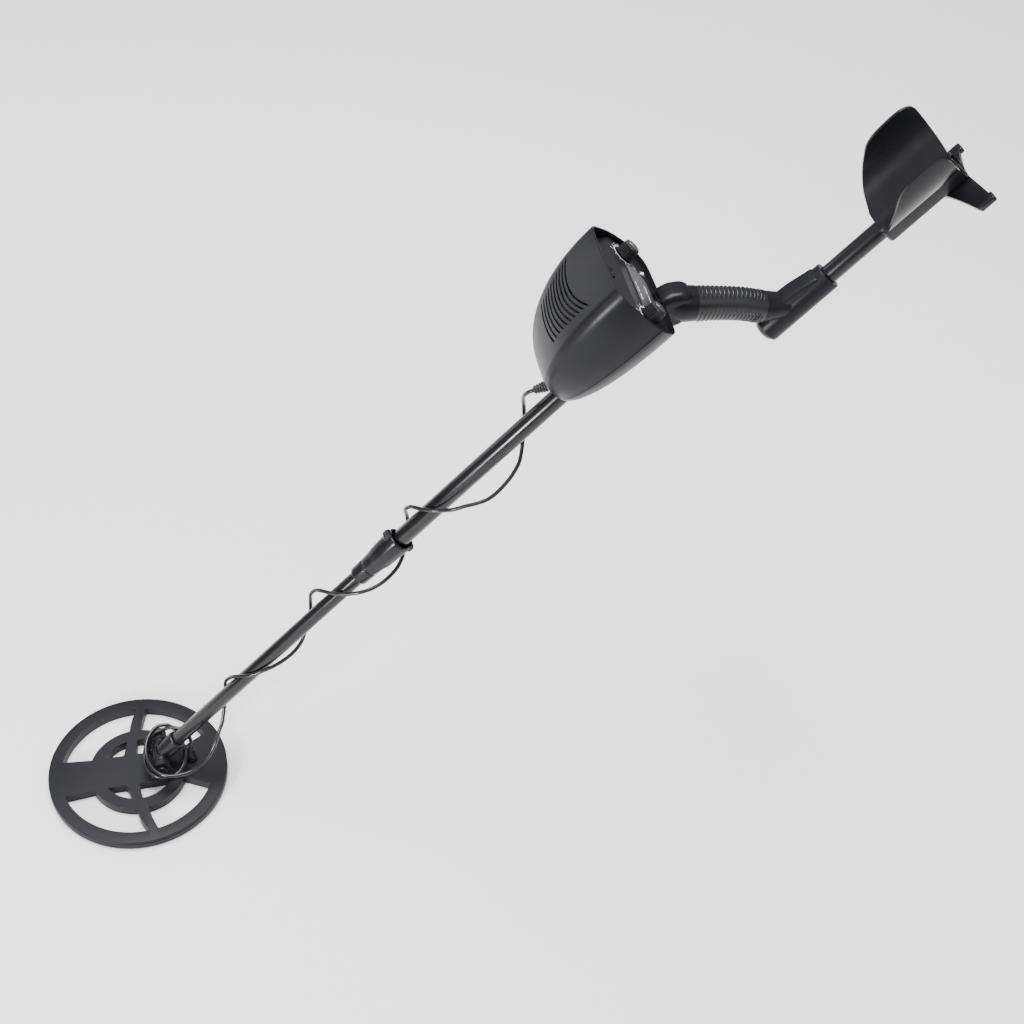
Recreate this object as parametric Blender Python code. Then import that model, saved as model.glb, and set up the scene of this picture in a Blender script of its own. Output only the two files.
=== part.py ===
"""Hobby metal detector: search coil, two-piece shaft, control housing, pistol grip and arm cup.

The frame is +Z up with the search coil level, as the detector is carried, and the origin is in the
middle of the hand grip. The shaft rises towards +X, the user's side; the coil is towards -X; +Y is
the detector's right. Most pieces are placed in the shaft frame, an empty whose +X runs up the
shaft axis (u), whose +Y is the detector's right and whose +Z (v) is square to both, with its
zero at the coil pivot. Lengths are in metres.
"""

import math

import bmesh
import bpy
import numpy as np
from mathutils import Matrix, Vector

# Driving dimensions
SHAFT_ANGLE = math.radians(48)  # shaft above the coil's plane
GRIP_U, GRIP_V = 0.871, -0.060  # middle of the grip, which is the origin
GAP = 0.0003  # between pieces that touch

COIL_RADIUS = 0.105
COIL_HEIGHT = 0.0125
LID_HEIGHT = 0.003
PIVOT_X, PIVOT_Z = 0.0284, 0.0215  # pivot axis from the middle of the coil's top face
EAR_INSIDE, EAR_OUTSIDE, EAR_RADIUS = 0.017, 0.022, 0.010
BOLT_RADIUS = 0.003

LOWER_RADIUS, UPPER_RADIUS = 0.0084, 0.010
TUBE_WALL = 0.0012
LOWER_FROM, LOWER_TO = 0.016, 0.500
UPPER_FROM, UPPER_TO = 0.380, 0.828
COLLAR_FROM, COLLAR_TO = 0.360, 0.430

HOUSING_NOSE, HOUSING_RIM = 0.681, 0.830
HOUSING_FLOOR = 0.006  # v of the underside, which every section shrinks towards
NOSE_POWER = 2.2  # how full the nose is in plan and in profile
SHELL_WALL = 0.0024
PANEL_U = 0.8250
PANEL_BEND_V = 0.058  # above this the panel leans away from the user
PANEL_LEAN = 0.55
KNOB_Y, KNOB_V = 0.0485, 0.040
JACK_Y, JACK_V = 0.004, 0.071
RELIEF_FOOT = Vector((0.6890, -0.0025, 0.0190))  # where the cable's boot leaves the nose
RELIEF_LEAN = Vector((-0.90, 0.12, 0.42)).normalized()
RELIEF_LENGTH = 0.0230
SCREW_U = (0.7050, 0.8080)

ARM_V = -0.1195  # axis of the arm tube, parallel to the shaft
ARM_FROM, ARM_TO = 0.874, 1.112
SLEEVE_FROM, SLEEVE_TO, SLEEVE_RADIUS = 0.862, 0.951, 0.0152
CUP_RADIUS, CUP_V, CUP_WALL = 0.046, -0.065, 0.0028
CUP_EDGE = [
    (1.0210, 18), (1.0300, 46), (1.0420, 67), (1.0540, 82), (1.0640, 93), (1.0760, 99), (1.0900, 101),
    (1.1070, 101), (1.1150, 97), (1.1195, 91), (1.1215, 83),
]  # along the shaft, and how far up each side the cup's edge reaches there, in degrees
CUP_BOLT_U = 1.090

CABLE_RADIUS = 0.0022
CABLE_SEES_Y, CABLE_SEES_V = -0.795, 0.607  # direction, square to the shaft, from which turns count

# Half of the housing's section at the rim, as (y, v): up from the seam, and down from it
ABOVE_SEAM = [
    (0.0715, 0.0360), (0.0705, 0.0500), (0.0675, 0.0630), (0.0624, 0.0755),
    (0.0565, 0.0865), (0.0495, 0.0925), (0.0250, 0.0941), (0.0, 0.0945),
]
BELOW_SEAM = [
    (0.0715, 0.0357), (0.0700, 0.0295), (0.0660, 0.0205), (0.0605, 0.0125),
    (0.0530, 0.0078), (0.0440, 0.0062), (0.0220, HOUSING_FLOOR), (0.0, HOUSING_FLOOR),
]

# The cable's turns round the shaft, from the housing down: (u, turn in degrees, distance off the axis)
CABLE_UPPER = [
    (0.6619, 57.4, 0.0298), (0.6559, 66.2, 0.0278), (0.6503, 79.7, 0.0246), (0.6446, 98.0, 0.0216),
    (0.6388, 118.4, 0.0195), (0.6325, 138, 0.0175), (0.6200, 180, 0.0165), (0.6060, 222, 0.0185), (0.5900, 253, 0.0260),
    (0.5660, 278, 0.0313), (0.5440, 292, 0.0324), (0.5220, 312, 0.0260), (0.5090, 324, 0.0225),
    (0.4950, 345, 0.0165), (0.4800, 396, 0.0155), (0.4700, 432, 0.0187), (0.4610, 450, 0.0202),
    (0.4550, 469, 0.0192), (0.4467, 503, 0.0190), (0.4340, 539, 0.0192), (0.4250, 556, 0.0198),
    (0.4150, 582, 0.0208), (0.4000, 612, 0.0227), (0.3840, 631, 0.0230), (0.3680, 654, 0.0216),
    (0.3550, 675, 0.0190),
]
CABLE_MIDDLE = [
    (0.3550, 675, 0.0190), (0.3420, 698, 0.0146), (0.3310, 737, 0.0132), (0.3216, 773, 0.0168),
    (0.3110, 802, 0.0205), (0.3020, 812, 0.0213), (0.2940, 829, 0.0193), (0.2795, 869, 0.0160),
    (0.2630, 907, 0.0130), (0.2460, 946, 0.0158), (0.2290, 974, 0.0157), (0.2116, 1001, 0.0136),
    (0.1940, 1036, 0.0117), (0.1760, 1076, 0.0114), (0.1635, 1113, 0.0114), (0.1510, 1151, 0.0122),
    (0.1410, 1173, 0.0128), (0.1320, 1201, 0.0124), (0.1156, 1265, 0.0122),
]
CABLE_LEAVING = [(0.1156, 1265, 0.0122), (0.1030, 1310, 0.0147), (0.0910, 1335, 0.0217), (0.0820, 1345, 0.0260)]
# The cable's two loose turns about the pivot, from the middle of the coil's top face
CABLE_LOOPS = [
    (0.0920, -0.0220, 0.0520), (0.0810, -0.0300, 0.0390), (0.0660, -0.0360, 0.0300), (0.0490, -0.0385, 0.0273),
    (0.0330, -0.0368, 0.0272), (0.0200, -0.0270, 0.0276), (0.0125, -0.0070, 0.0290), (0.0135, 0.0100, 0.0320),
    (0.0200, 0.0220, 0.0360), (0.0280, 0.0282, 0.0382), (0.0370, 0.0294, 0.0380), (0.0430, 0.0284, 0.0363),
    (0.0475, 0.0250, 0.0330), (0.0520, 0.0175, 0.0295), (0.0560, 0.0060, 0.0260), (0.0565, -0.0070, 0.0235),
    (0.0530, -0.0210, 0.0220), (0.0450, -0.0315, 0.0210), (0.0340, -0.0333, 0.0205), (0.0230, -0.0318, 0.0205),
    (0.0135, -0.0240, 0.0208), (0.0090, -0.0090, 0.0213), (0.0108, 0.0060, 0.0236), (0.0165, 0.0165, 0.0285),
    (0.0245, 0.0223, 0.0338), (0.0340, 0.0242, 0.0356), (0.0420, 0.0243, 0.0380), (0.0500, 0.0220, 0.0388),
    (0.0580, 0.0175, 0.0370), (0.0635, 0.0120, 0.0330), (0.0653, 0.0075, 0.0280), (0.0648, 0.0050, 0.0230),
    (0.0642, 0.0038, 0.0200),
]

ROUND = 28  # sides of a large round piece
SMALL_ROUND = 12


def clear_scene():
    for obj in list(bpy.data.objects):
        bpy.data.objects.remove(obj, do_unlink=True)


def material(name, colour, roughness, metallic=0.0):
    made = bpy.data.materials.new(name)
    made.use_nodes = True
    shader = made.node_tree.nodes["Principled BSDF"]
    shader.inputs["Base Color"].default_value = (*colour, 1.0)
    shader.inputs["Roughness"].default_value = roughness
    shader.inputs["Metallic"].default_value = metallic
    return made


def empty(name, location=(0, 0, 0), rotation=(0, 0, 0), parent=None):
    made = bpy.data.objects.new(name, None)
    bpy.context.collection.objects.link(made)
    made.location = location
    made.rotation_euler = rotation
    made.parent = parent
    return made


def mesh_object(name, verts, faces, finish, frame, origin=(0, 0, 0)):
    """An object from points given in its frame, with its own origin there, and smooth where it is round."""
    start = Vector(origin)
    data = bpy.data.meshes.new(name)
    data.from_pydata([Vector(v) - start for v in verts], [], faces)
    obj = bpy.data.objects.new(name, data)
    bpy.context.collection.objects.link(obj)
    obj.parent = frame
    obj.location = start
    work = bmesh.new()
    work.from_mesh(data)
    bmesh.ops.recalc_face_normals(work, faces=work.faces)
    work.to_mesh(data)
    work.free()
    data.shade_smooth()
    data.set_sharp_from_angle(angle=math.radians(35))
    if finish:
        data.materials.append(finish)
    return obj


def helper(obj):
    """Marks a cutter or a piece that is only joined to another."""
    obj.hide_render = True
    obj.display_type = "WIRE"
    return obj


def boolean(obj, other, operation):
    helper(other)
    step = obj.modifiers.new(operation.lower(), "BOOLEAN")
    step.operation = operation
    step.solver = "EXACT"
    step.object = other


def cut(obj, *cutters):
    for cutter in cutters:
        boolean(obj, cutter, "DIFFERENCE")


def join(obj, *others):
    for other in others:
        boolean(obj, other, "UNION")


def loft(name, rings, finish, frame, origin=(0, 0, 0)):
    """A closed solid through rings of equally many points."""
    count = len(rings[0])
    verts = [point for ring in rings for point in ring]
    faces = []
    for i in range(len(rings) - 1):
        for j in range(count):
            k = (j + 1) % count
            faces.append((i * count + j, i * count + k, (i + 1) * count + k, (i + 1) * count + j))
    faces.append(tuple(range(count))[::-1])
    faces.append(tuple(range((len(rings) - 1) * count, len(rings) * count)))
    return mesh_object(name, verts, faces, finish, frame, origin)


def axes_for(direction):
    along = Vector(direction).normalized()
    side = along.orthogonal().normalized()
    if abs(along.x) > 0.9:
        side = Vector((0, 1, 0))
    return along, side, along.cross(side)


def turned(name, profile, finish, frame, base=(0, 0, 0), direction=(1, 0, 0), sides=ROUND, origin=None):
    """A closed solid of revolution. The profile is a closed outline of (distance along, radius)."""
    along, side, other = axes_for(direction)
    start = Vector(base)
    verts, rows = [], []
    for distance, radius in profile:
        if radius < 1e-7:
            rows.append([len(verts)])
            verts.append(start + along * distance)
            continue
        rows.append(list(range(len(verts), len(verts) + sides)))
        for k in range(sides):
            turn = 2 * math.pi * k / sides
            verts.append(start + along * distance + (side * math.cos(turn) + other * math.sin(turn)) * radius)
    faces = []
    for a, b in zip(rows, rows[1:] + rows[:1]):
        if len(a) == 1 and len(b) == 1:
            continue
        for k in range(sides):
            j = (k + 1) % sides
            if len(a) == 1:
                faces.append((a[0], b[j], b[k]))
            elif len(b) == 1:
                faces.append((a[k], a[j], b[0]))
            else:
                faces.append((a[k], a[j], b[j], b[k]))
    return mesh_object(name, verts, faces, finish, frame, base if origin is None else origin)


def rod(name, length, radius, finish, frame, base=(0, 0, 0), direction=(1, 0, 0), sides=ROUND, edge=0.0):
    """A round bar, with its ends' edges eased when edge is set."""
    if edge:
        profile = [(0, 0), (0, radius - edge), (edge, radius), (length - edge, radius), (length, radius - edge),
                   (length, 0)]
    else:
        profile = [(0, 0), (0, radius), (length, radius), (length, 0)]
    return turned(name, profile, finish, frame, base, direction, sides)


def pipe(name, length, outer, inner, finish, frame, base=(0, 0, 0), direction=(1, 0, 0), sides=ROUND):
    profile = [(0, inner), (0, outer), (length, outer), (length, inner)]
    return turned(name, profile, finish, frame, base, direction, sides)


def box(name, low, high, finish, frame, ease=0.0):
    (x0, y0, z0), (x1, y1, z1) = low, high
    verts = [(x, y, z) for x in (x0, x1) for y in (y0, y1) for z in (z0, z1)]
    faces = [(0, 1, 3, 2), (4, 6, 7, 5), (0, 4, 5, 1), (2, 3, 7, 6), (0, 2, 6, 4), (1, 5, 7, 3)]
    obj = mesh_object(name, verts, faces, finish, frame)
    if ease:
        soften(obj, ease)
    return obj


def soften(obj, width, segments=2):
    bevel = obj.modifiers.new("soft_edges", "BEVEL")
    bevel.width = width
    bevel.segments = segments
    bevel.limit_method = "ANGLE"
    bevel.angle_limit = math.radians(40)


def slab(name, outline, low, high, finish, frame, plane="xy"):
    """An outline extruded from low to high along the axis square to its plane."""
    place = {
        "xy": lambda a, b, c: (a, b, c),
        "xz": lambda a, b, c: (a, c, b),
        "yz": lambda a, b, c: (c, a, b),
    }[plane]
    return loft(name, [[place(a, b, c) for a, b in outline] for c in (low, high)], finish, frame)


def arc(centre, radius, start, end, count):
    """Points on a circle from start to end, in degrees."""
    turns = [math.radians(start + (end - start) * k / (count - 1)) for k in range(count)]
    return [(centre[0] + radius * math.cos(t), centre[1] + radius * math.sin(t)) for t in turns]


# --- Search coil -------------------------------------------------------------------------------

RIM_INSIDE, RING_OUTSIDE, RING_INSIDE = 0.0900, 0.0570, 0.0430
# Corners of the gaps in the right half of the coil: from the bar along it, or along a ring, to the cross spoke
OUTER_WINDOWS = [
    ((-0.0865, 0.0247), (0.0056, 0.0898), (-0.0020, 0.0730), (-0.0059, 0.0567), (-0.0526, 0.0218)),
    ((0.0818, 0.0375), (0.0161, 0.0885), (0.0112, 0.0730), (0.0072, 0.0565), (0.0528, 0.0215)),
]
INNER_WINDOWS = [
    ((-0.0370, 0.0219), (-0.0098, 0.0419), (-0.0152, 0.0217)),
    ((0.0372, 0.0216), (0.0024, 0.0429), (-0.0005, 0.0216)),
]


def along_ring(radius, start, end, count):
    """Points of a ring between the directions of two points on it."""
    first, last = (math.degrees(math.atan2(y, x)) for x, y in (start, end))
    return arc((0, 0), radius, first, last, count)


def windows():
    """Outlines of the eight gaps between the coil's rings, its bar and its spokes."""
    outlines = []
    for bar_far, spoke_far, spoke_middle, spoke_near, bar_near in OUTER_WINDOWS:
        outline = along_ring(RIM_INSIDE, bar_far, spoke_far, 12) + [spoke_middle]
        outlines.append(outline + along_ring(RING_OUTSIDE, spoke_near, bar_near, 8))
    for bar_far, spoke_far, corner in INNER_WINDOWS:
        outlines.append(along_ring(RING_INSIDE, bar_far, spoke_far, 8) + [corner])
    return outlines + [[(x, -y) for x, y in reversed(outline)] for outline in outlines]


def coil_shells(plastic, frame):
    """The two moulded halves, which hold the windings between them."""
    seam = -LID_HEIGHT
    bottom = rod("coil_bottom_shell", COIL_HEIGHT - LID_HEIGHT - GAP / 2, COIL_RADIUS, plastic, frame,
                 base=(0, 0, -COIL_HEIGHT), direction=(0, 0, 1), sides=60, edge=0.0012)
    lid = turned("coil_top_shell", [(0, 0), (0, COIL_RADIUS), (LID_HEIGHT - 0.0012, COIL_RADIUS),
                                    (LID_HEIGHT, COIL_RADIUS - 0.0012), (LID_HEIGHT, 0)],
                 plastic, frame, base=(0, 0, seam + GAP / 2), direction=(0, 0, 1), sides=60)
    for shell, low, high in ((bottom, -COIL_HEIGHT - 0.002, seam + 0.002), (lid, seam - 0.002, 0.002)):
        for number, outline in enumerate(windows()):
            cut(shell, slab(f"{shell.name}_window_{number}", outline, low, high, None, frame))
    for name, inner, outer in (("outer_groove", 0.0925, 0.1025), ("inner_groove", 0.0455, 0.0545)):
        groove = pipe(name, COIL_HEIGHT, outer, inner, None, frame, base=(0, 0, 0.0025 - COIL_HEIGHT),
                      direction=(0, 0, 1), sides=40)
        cut(bottom, groove)
    ears = []
    for side, name in ((-1, "left_ear"), (1, "right_ear")):
        low, high = sorted((side * EAR_INSIDE, side * EAR_OUTSIDE))
        outline = [(0.010, -0.0015)] + arc((PIVOT_X, PIVOT_Z), EAR_RADIUS, 160, -20, 13) + [(0.0500, -0.0015)]
        ears.append(slab(name, outline[::-1], low, high, None, frame, plane="xz"))
    rib = box("ear_foot", (0.0085, -EAR_OUTSIDE - 0.0008, -0.0012), (0.0515, EAR_OUTSIDE + 0.0008, 0.0030), None,
              frame)
    join(lid, *ears, rib)
    hole = rod("pivot_hole", 0.080, BOLT_RADIUS + 0.0004, None, frame, base=(PIVOT_X, -0.040, PIVOT_Z),
               direction=(0, 1, 0), sides=SMALL_ROUND)
    cable_hole = rod("cable_hole", 0.020, 0.0046, None, frame, base=(0.0642, 0.0020, -0.010),
                     direction=(0, 0, 1), sides=SMALL_ROUND)
    cut(lid, hole, cable_hole)
    return bottom, lid


def windings(copper, frame):
    pipe("transmit_winding", 0.0060, 0.1020, 0.0930, copper, frame, base=(0, 0, 0.0030 - COIL_HEIGHT),
         direction=(0, 0, 1), sides=40)
    pipe("receive_winding", 0.0055, 0.0540, 0.0460, copper, frame, base=(0, 0, 0.0030 - COIL_HEIGHT),
         direction=(0, 0, 1), sides=32)


def coil_gland(rubber, frame):
    """The ribbed post that holds the cable where it enters the coil."""
    foot, tip = Vector((0.0642, 0.0020, -0.0020)), Vector((0.0642, 0.0038, 0.0195))
    length = (tip - foot).length
    profile = [(0, 0), (0, 0.0040), (0.0032, 0.0040), (0.0032, 0.0062), (0.0056, 0.0060)]
    for k in range(3):
        start = 0.0056 + k * (length - 0.0066) / 3
        radius = 0.0056 - 0.0003 * k
        profile += [(start + 0.0003, radius - 0.0010), (start + 0.0014, radius - 0.0010), (start + 0.0016, radius),
                    (start + 0.0044, radius)]
    profile += [(length, 0.0040), (length, 0)]
    turned("coil_cable_gland", profile, rubber, frame, base=foot, direction=tip - foot, sides=SMALL_ROUND)


def pivot_hardware(plastic, rubber, frame):
    """The plastic bolt through the ears, its hand nut and the two rubber washers."""
    bolt = turned("pivot_bolt",
                  [(0, 0), (0, 0.0050), (0.0008, 0.0060), (0.0040, 0.0060), (0.0040, BOLT_RADIUS),
                   (0.0560, BOLT_RADIUS), (0.0560, 0)],
                  plastic, frame, base=(PIVOT_X, -0.0263, PIVOT_Z), direction=(0, 1, 0), sides=24)
    slot = box("bolt_slot", (PIVOT_X - 0.0045, -0.030, PIVOT_Z - 0.0006), (PIVOT_X + 0.0045, -0.0252, PIVOT_Z + 0.0006),
               None, frame)
    cut(bolt, slot)
    inner = BOLT_RADIUS + GAP
    for side, name in ((-1, "left_pivot_washer"), (1, "right_pivot_washer")):
        base = 0.0143 if side > 0 else -0.0167
        pipe(name, 0.0024, 0.0090, inner, rubber, frame, base=(PIVOT_X, base, PIVOT_Z), direction=(0, 1, 0), sides=32)


def pivot_knob(plastic, frame):
    lobes, steps = 8, 3
    outline = []
    for k in range(lobes * steps):
        turn = 2 * math.pi * k / (lobes * steps)
        outline.append((turn, 0.0086 + 0.0006 * math.cos(lobes * turn)))
    rings = []
    for y, scale in ((0.0225, 0.93), (0.0232, 1.0), (0.0310, 1.0), (0.0336, 0.90), (0.0350, 0.66)):
        rings.append([(PIVOT_X + r * scale * math.cos(t), y, PIVOT_Z + r * scale * math.sin(t)) for t, r in outline])
    knob = loft("pivot_knob", rings, plastic, frame, origin=(PIVOT_X, 0.0225, PIVOT_Z))
    bore = rod("pivot_knob_bore", 0.0092, BOLT_RADIUS + GAP, None, frame, base=(PIVOT_X, 0.0210, PIVOT_Z),
               direction=(0, 1, 0), sides=24)
    cut(knob, bore)


# --- Shaft -------------------------------------------------------------------------------------


def shaft_end_fitting(plastic, frame):
    """The tongue between the coil's ears, with a socket for the lower tube."""
    tongue = rod("shaft_end_fitting", 0.0280, EAR_RADIUS, plastic, frame, base=(0, -0.0140, 0), direction=(0, 1, 0),
                 sides=32)
    socket = turned("fitting_socket",
                    [(0, 0), (0, 0.0104), (0.0040, 0.0112), (0.0280, 0.0112), (0.0295, 0.0102), (0.0295, 0)],
                    None, frame, base=(0.0040, 0, 0), sides=28)
    join(tongue, socket)
    bore = rod("fitting_bore", 0.030, LOWER_RADIUS + GAP, None, frame, base=(LOWER_FROM - GAP, 0, 0), sides=32)
    cross = rod("fitting_cross_bore", 0.040, BOLT_RADIUS + GAP, None, frame, base=(0, -0.020, 0), direction=(0, 1, 0),
                sides=SMALL_ROUND)
    cut(tongue, bore, cross)


def tubes(metal, nylon, frame):
    upper = pipe("upper_shaft", UPPER_TO - UPPER_FROM, UPPER_RADIUS, UPPER_RADIUS - TUBE_WALL, metal, frame,
                 base=(UPPER_FROM, 0, 0))
    pipe("lower_shaft", LOWER_TO - LOWER_FROM, LOWER_RADIUS, LOWER_RADIUS - TUBE_WALL, metal, frame,
         base=(LOWER_FROM, 0, 0))
    for number, u in enumerate(SCREW_U, 1):
        cut(upper, screw_hole(f"shaft_screw_hole_{number}", u, frame))
    turned("lower_shaft_guide_plug",
           [(0, 0), (0, LOWER_RADIUS - TUBE_WALL - GAP), (0.0100, LOWER_RADIUS - TUBE_WALL - GAP), (0.0100, 0.0083),
            (0.0140, 0.0083), (0.0150, 0.0075), (0.0150, 0)],
           nylon, frame, base=(LOWER_TO - 0.0100 + GAP, 0, 0), sides=32)
    pipe("collet_ring", 0.0052, UPPER_RADIUS + 0.0001, LOWER_RADIUS + GAP, nylon, frame,
         base=(UPPER_FROM - 0.0056, 0, 0), sides=32)


def lock_collar(plastic, frame):
    """The twist collar that grips the lower tube: a flared sleeve with two lugs at its mouth."""
    length = COLLAR_TO - COLLAR_FROM
    bore, wide = LOWER_RADIUS + GAP, UPPER_RADIUS + 0.0005
    collar = turned("lock_collar",
                    [(0, bore), (0, 0.0106), (0.0015, 0.0113), (0.0170, 0.0117), (0.0180, 0.0111), (0.0198, 0.0111),
                     (0.0208, 0.0119), (0.0290, 0.0126), (0.0390, 0.0143), (0.0660, 0.0154), (0.0690, 0.0150),
                     (length, 0.0138), (length, 0.0128), (0.0600, wide), (0.0140, wide), (0.0140, bore)],
                    plastic, frame, base=(COLLAR_FROM, 0, 0))
    lugs = []
    for side, name in ((-1, "lower_lug"), (1, "upper_lug")):
        outline = [(0.421, 0.0132), (0.421, 0.0165), (0.4235, 0.0200), (0.4295, 0.0200), (0.4320, 0.0180),
                   (0.4320, 0.0132)]
        points = [(u, side * v) for u, v in outline]
        lug = slab(name, points if side > 0 else points[::-1], -0.0048, 0.0048, None, frame, plane="xz")
        soften(lug, 0.0012, 1)
        lugs.append(lug)
    join(collar, *lugs)


# --- Control housing ---------------------------------------------------------------------------


def fullness(t):
    return (1 - t**NOSE_POWER) ** (1 / NOSE_POWER)


def inset(half):
    """The inside of a half section, one wall in from its outside."""
    points = []
    for k, (y, v) in enumerate(half):
        if k == 0:
            points.append((y - SHELL_WALL, v))
            continue
        if k == len(half) - 1:
            points.append((0.0, v + math.copysign(SHELL_WALL, HOUSING_FLOOR + 0.03 - v)))
            continue
        (y0, v0), (y1, v1) = half[k - 1], half[k + 1]
        length = math.hypot(y1 - y0, v1 - v0)
        turn = 1 if v1 > v0 or v > 0.04 else -1
        points.append((y - SHELL_WALL * turn * (v1 - v0) / length, v + SHELL_WALL * turn * (y1 - y0) / length))
    return points


def housing_section(half, t, wall):
    """A section's run from the detector's right seam to its left one, at a share t of the way to the nose."""
    u = HOUSING_RIM - (HOUSING_RIM - HOUSING_NOSE - wall) * t
    scale = fullness(t)
    floor = HOUSING_FLOOR + wall
    right = [(u, y * scale, floor + (v - floor) * scale) for y, v in half]
    left = [(a, -b, c) for a, b, c in reversed(right[:-1])]
    return right + left


def housing_skin(name, half, finish, frame):
    """One shell of the housing, from its outer and inner sections, closed at the rim and along the seam."""
    stations = [math.sin(math.radians(90) * k / 9) for k in range(9)] + [0.9970]
    outer = [housing_section(half, t, 0.0) for t in stations]
    inner = [housing_section(inset(half), t, SHELL_WALL) for t in stations]
    rows, count = len(outer), len(outer[0])
    verts = [p for row in outer + inner for p in row]
    faces = []
    for skin in (0, rows):
        for i in range(rows - 1):
            a, b = (skin + i) * count, (skin + i + 1) * count
            for j in range(count - 1):
                faces.append((a + j, a + j + 1, b + j + 1, b + j))
        last = (skin + rows - 1) * count
        faces.append(tuple(range(last, last + count)))
    for j in range(count - 1):
        faces.append((j, j + 1, rows * count + j + 1, rows * count + j))
    for i in range(rows - 1):
        for j in (0, count - 1):
            a, b = i * count + j, (i + 1) * count + j
            faces.append((a, b, rows * count + b, rows * count + a))
    a, b = (rows - 1) * count, rows * count - 1
    faces.append((a, b, rows * count + b, rows * count + a))
    return mesh_object(name, verts, faces, finish, frame)


def vent_cutter(name, index, frame):
    """One long J-shaped sound slot through the top of the shell."""
    far = (0.7906 - 0.00566 * index, 0.0441 - 0.00133 * index)
    near = (0.7952 - 0.00631 * index, -0.0365 + 0.00117 * index)
    bulge = 0.0117 - 0.00083 * index
    rings = []
    for k in range(6):
        share = k / 5
        u = far[0] + (near[0] - far[0]) * share - bulge * 4 * share * (1 - share)
        y = far[1] + (near[1] - far[1]) * share
        rings.append([(u - 0.0011, y, 0.055), (u + 0.0011, y, 0.055), (u + 0.0011, y, 0.105), (u - 0.0011, y, 0.105)])
    return loft(name, rings, None, frame)


def relief_hole(name, frame):
    return rod(name, 0.040, 0.0043, None, frame, base=RELIEF_FOOT - 0.012 * RELIEF_LEAN,
               direction=RELIEF_LEAN, sides=SMALL_ROUND)


def housing_top(plastic, frame):
    shell = housing_skin("housing_top_shell", ABOVE_SEAM, plastic, frame)
    groove = rod("shell_groove", 0.30, UPPER_RADIUS + GAP, None, frame, base=(0.60, 0, 0), sides=ROUND)
    cut(shell, groove, relief_hole("shell_relief_hole", frame))
    for index in range(10):
        cut(shell, vent_cutter(f"vent_{index}", index, frame))


def screw_hole(name, u, frame):
    return rod(name, 0.020, 0.0016, None, frame, base=(u, 0, 0.002), direction=(0, 0, 1), sides=12)


def housing_tray(plastic, frame):
    tray = housing_skin("housing_tray", BELOW_SEAM, plastic, frame)
    saddle = rod("tray_saddle", 0.130, 0.0130, None, frame, base=(HOUSING_NOSE + 0.0110, 0, 0), sides=28)
    below = box("below_tray", (0.60, -0.05, -0.05), (0.90, 0.05, HOUSING_FLOOR + 0.0004), None, frame)
    cut(saddle, below)
    join(tray, saddle)
    groove = rod("tray_groove", 0.30, UPPER_RADIUS + GAP, None, frame, base=(0.60, 0, 0), sides=ROUND)
    opening = box("battery_opening", (0.7570, -0.0412, -0.02), (0.8070, -0.0168, 0.0150), None, frame)
    cut(tray, groove, relief_hole("tray_relief_hole", frame), opening)
    for number, u in enumerate(SCREW_U, 1):
        cut(tray, screw_hole(f"tray_screw_hole_{number}", u, frame))


def panel_half_width(v):
    """Half the room inside the shell at a height v near the rim."""
    run = sorted([(b, a) for a, b in inset(ABOVE_SEAM)] + [(b, a) for a, b in inset(BELOW_SEAM)])
    return float(np.interp(v, [b for b, _ in run], [a for _, a in run])) - 0.0012


def panel_front(v):
    return PANEL_U - PANEL_LEAN * max(0.0, v - PANEL_BEND_V)


def control_panel(plastic, frame):
    """The recessed face: flat behind the knobs, leaning back under the hood above them."""
    heights = [0.0092, 0.0108, 0.0140, 0.0210, 0.0300, 0.0360, 0.0500, PANEL_BEND_V, 0.0630, 0.0755, 0.0840, 0.0876]
    thick = 0.0025
    rings = []
    for v in heights:
        w = panel_half_width(v)
        u = panel_front(v)
        rings.append([(u - thick, -w, v), (u, -w, v), (u, w, v), (u - thick, w, v)])
    panel = loft("control_panel", rings, plastic, frame)
    for side in (-1, 1):
        hole = rod(f"panel_hole_{side}", 0.02, 0.0036, None, frame, base=(0.815, side * KNOB_Y, KNOB_V),
                   sides=SMALL_ROUND)
        cut(panel, hole)
    jack_hole = rod("jack_hole", 0.03, 0.0050, None, frame, base=(0.800, JACK_Y, JACK_V), sides=SMALL_ROUND)
    lamp_hole = rod("lamp_hole", 0.02, 0.0024, None, frame, base=(0.815, 0.034, 0.0175), sides=16)
    notch = rod("panel_tube_notch", 0.05, UPPER_RADIUS + 0.0031, None, frame, base=(0.80, 0, 0), sides=32)
    cut(panel, jack_hole, lamp_hole, notch)


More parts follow.
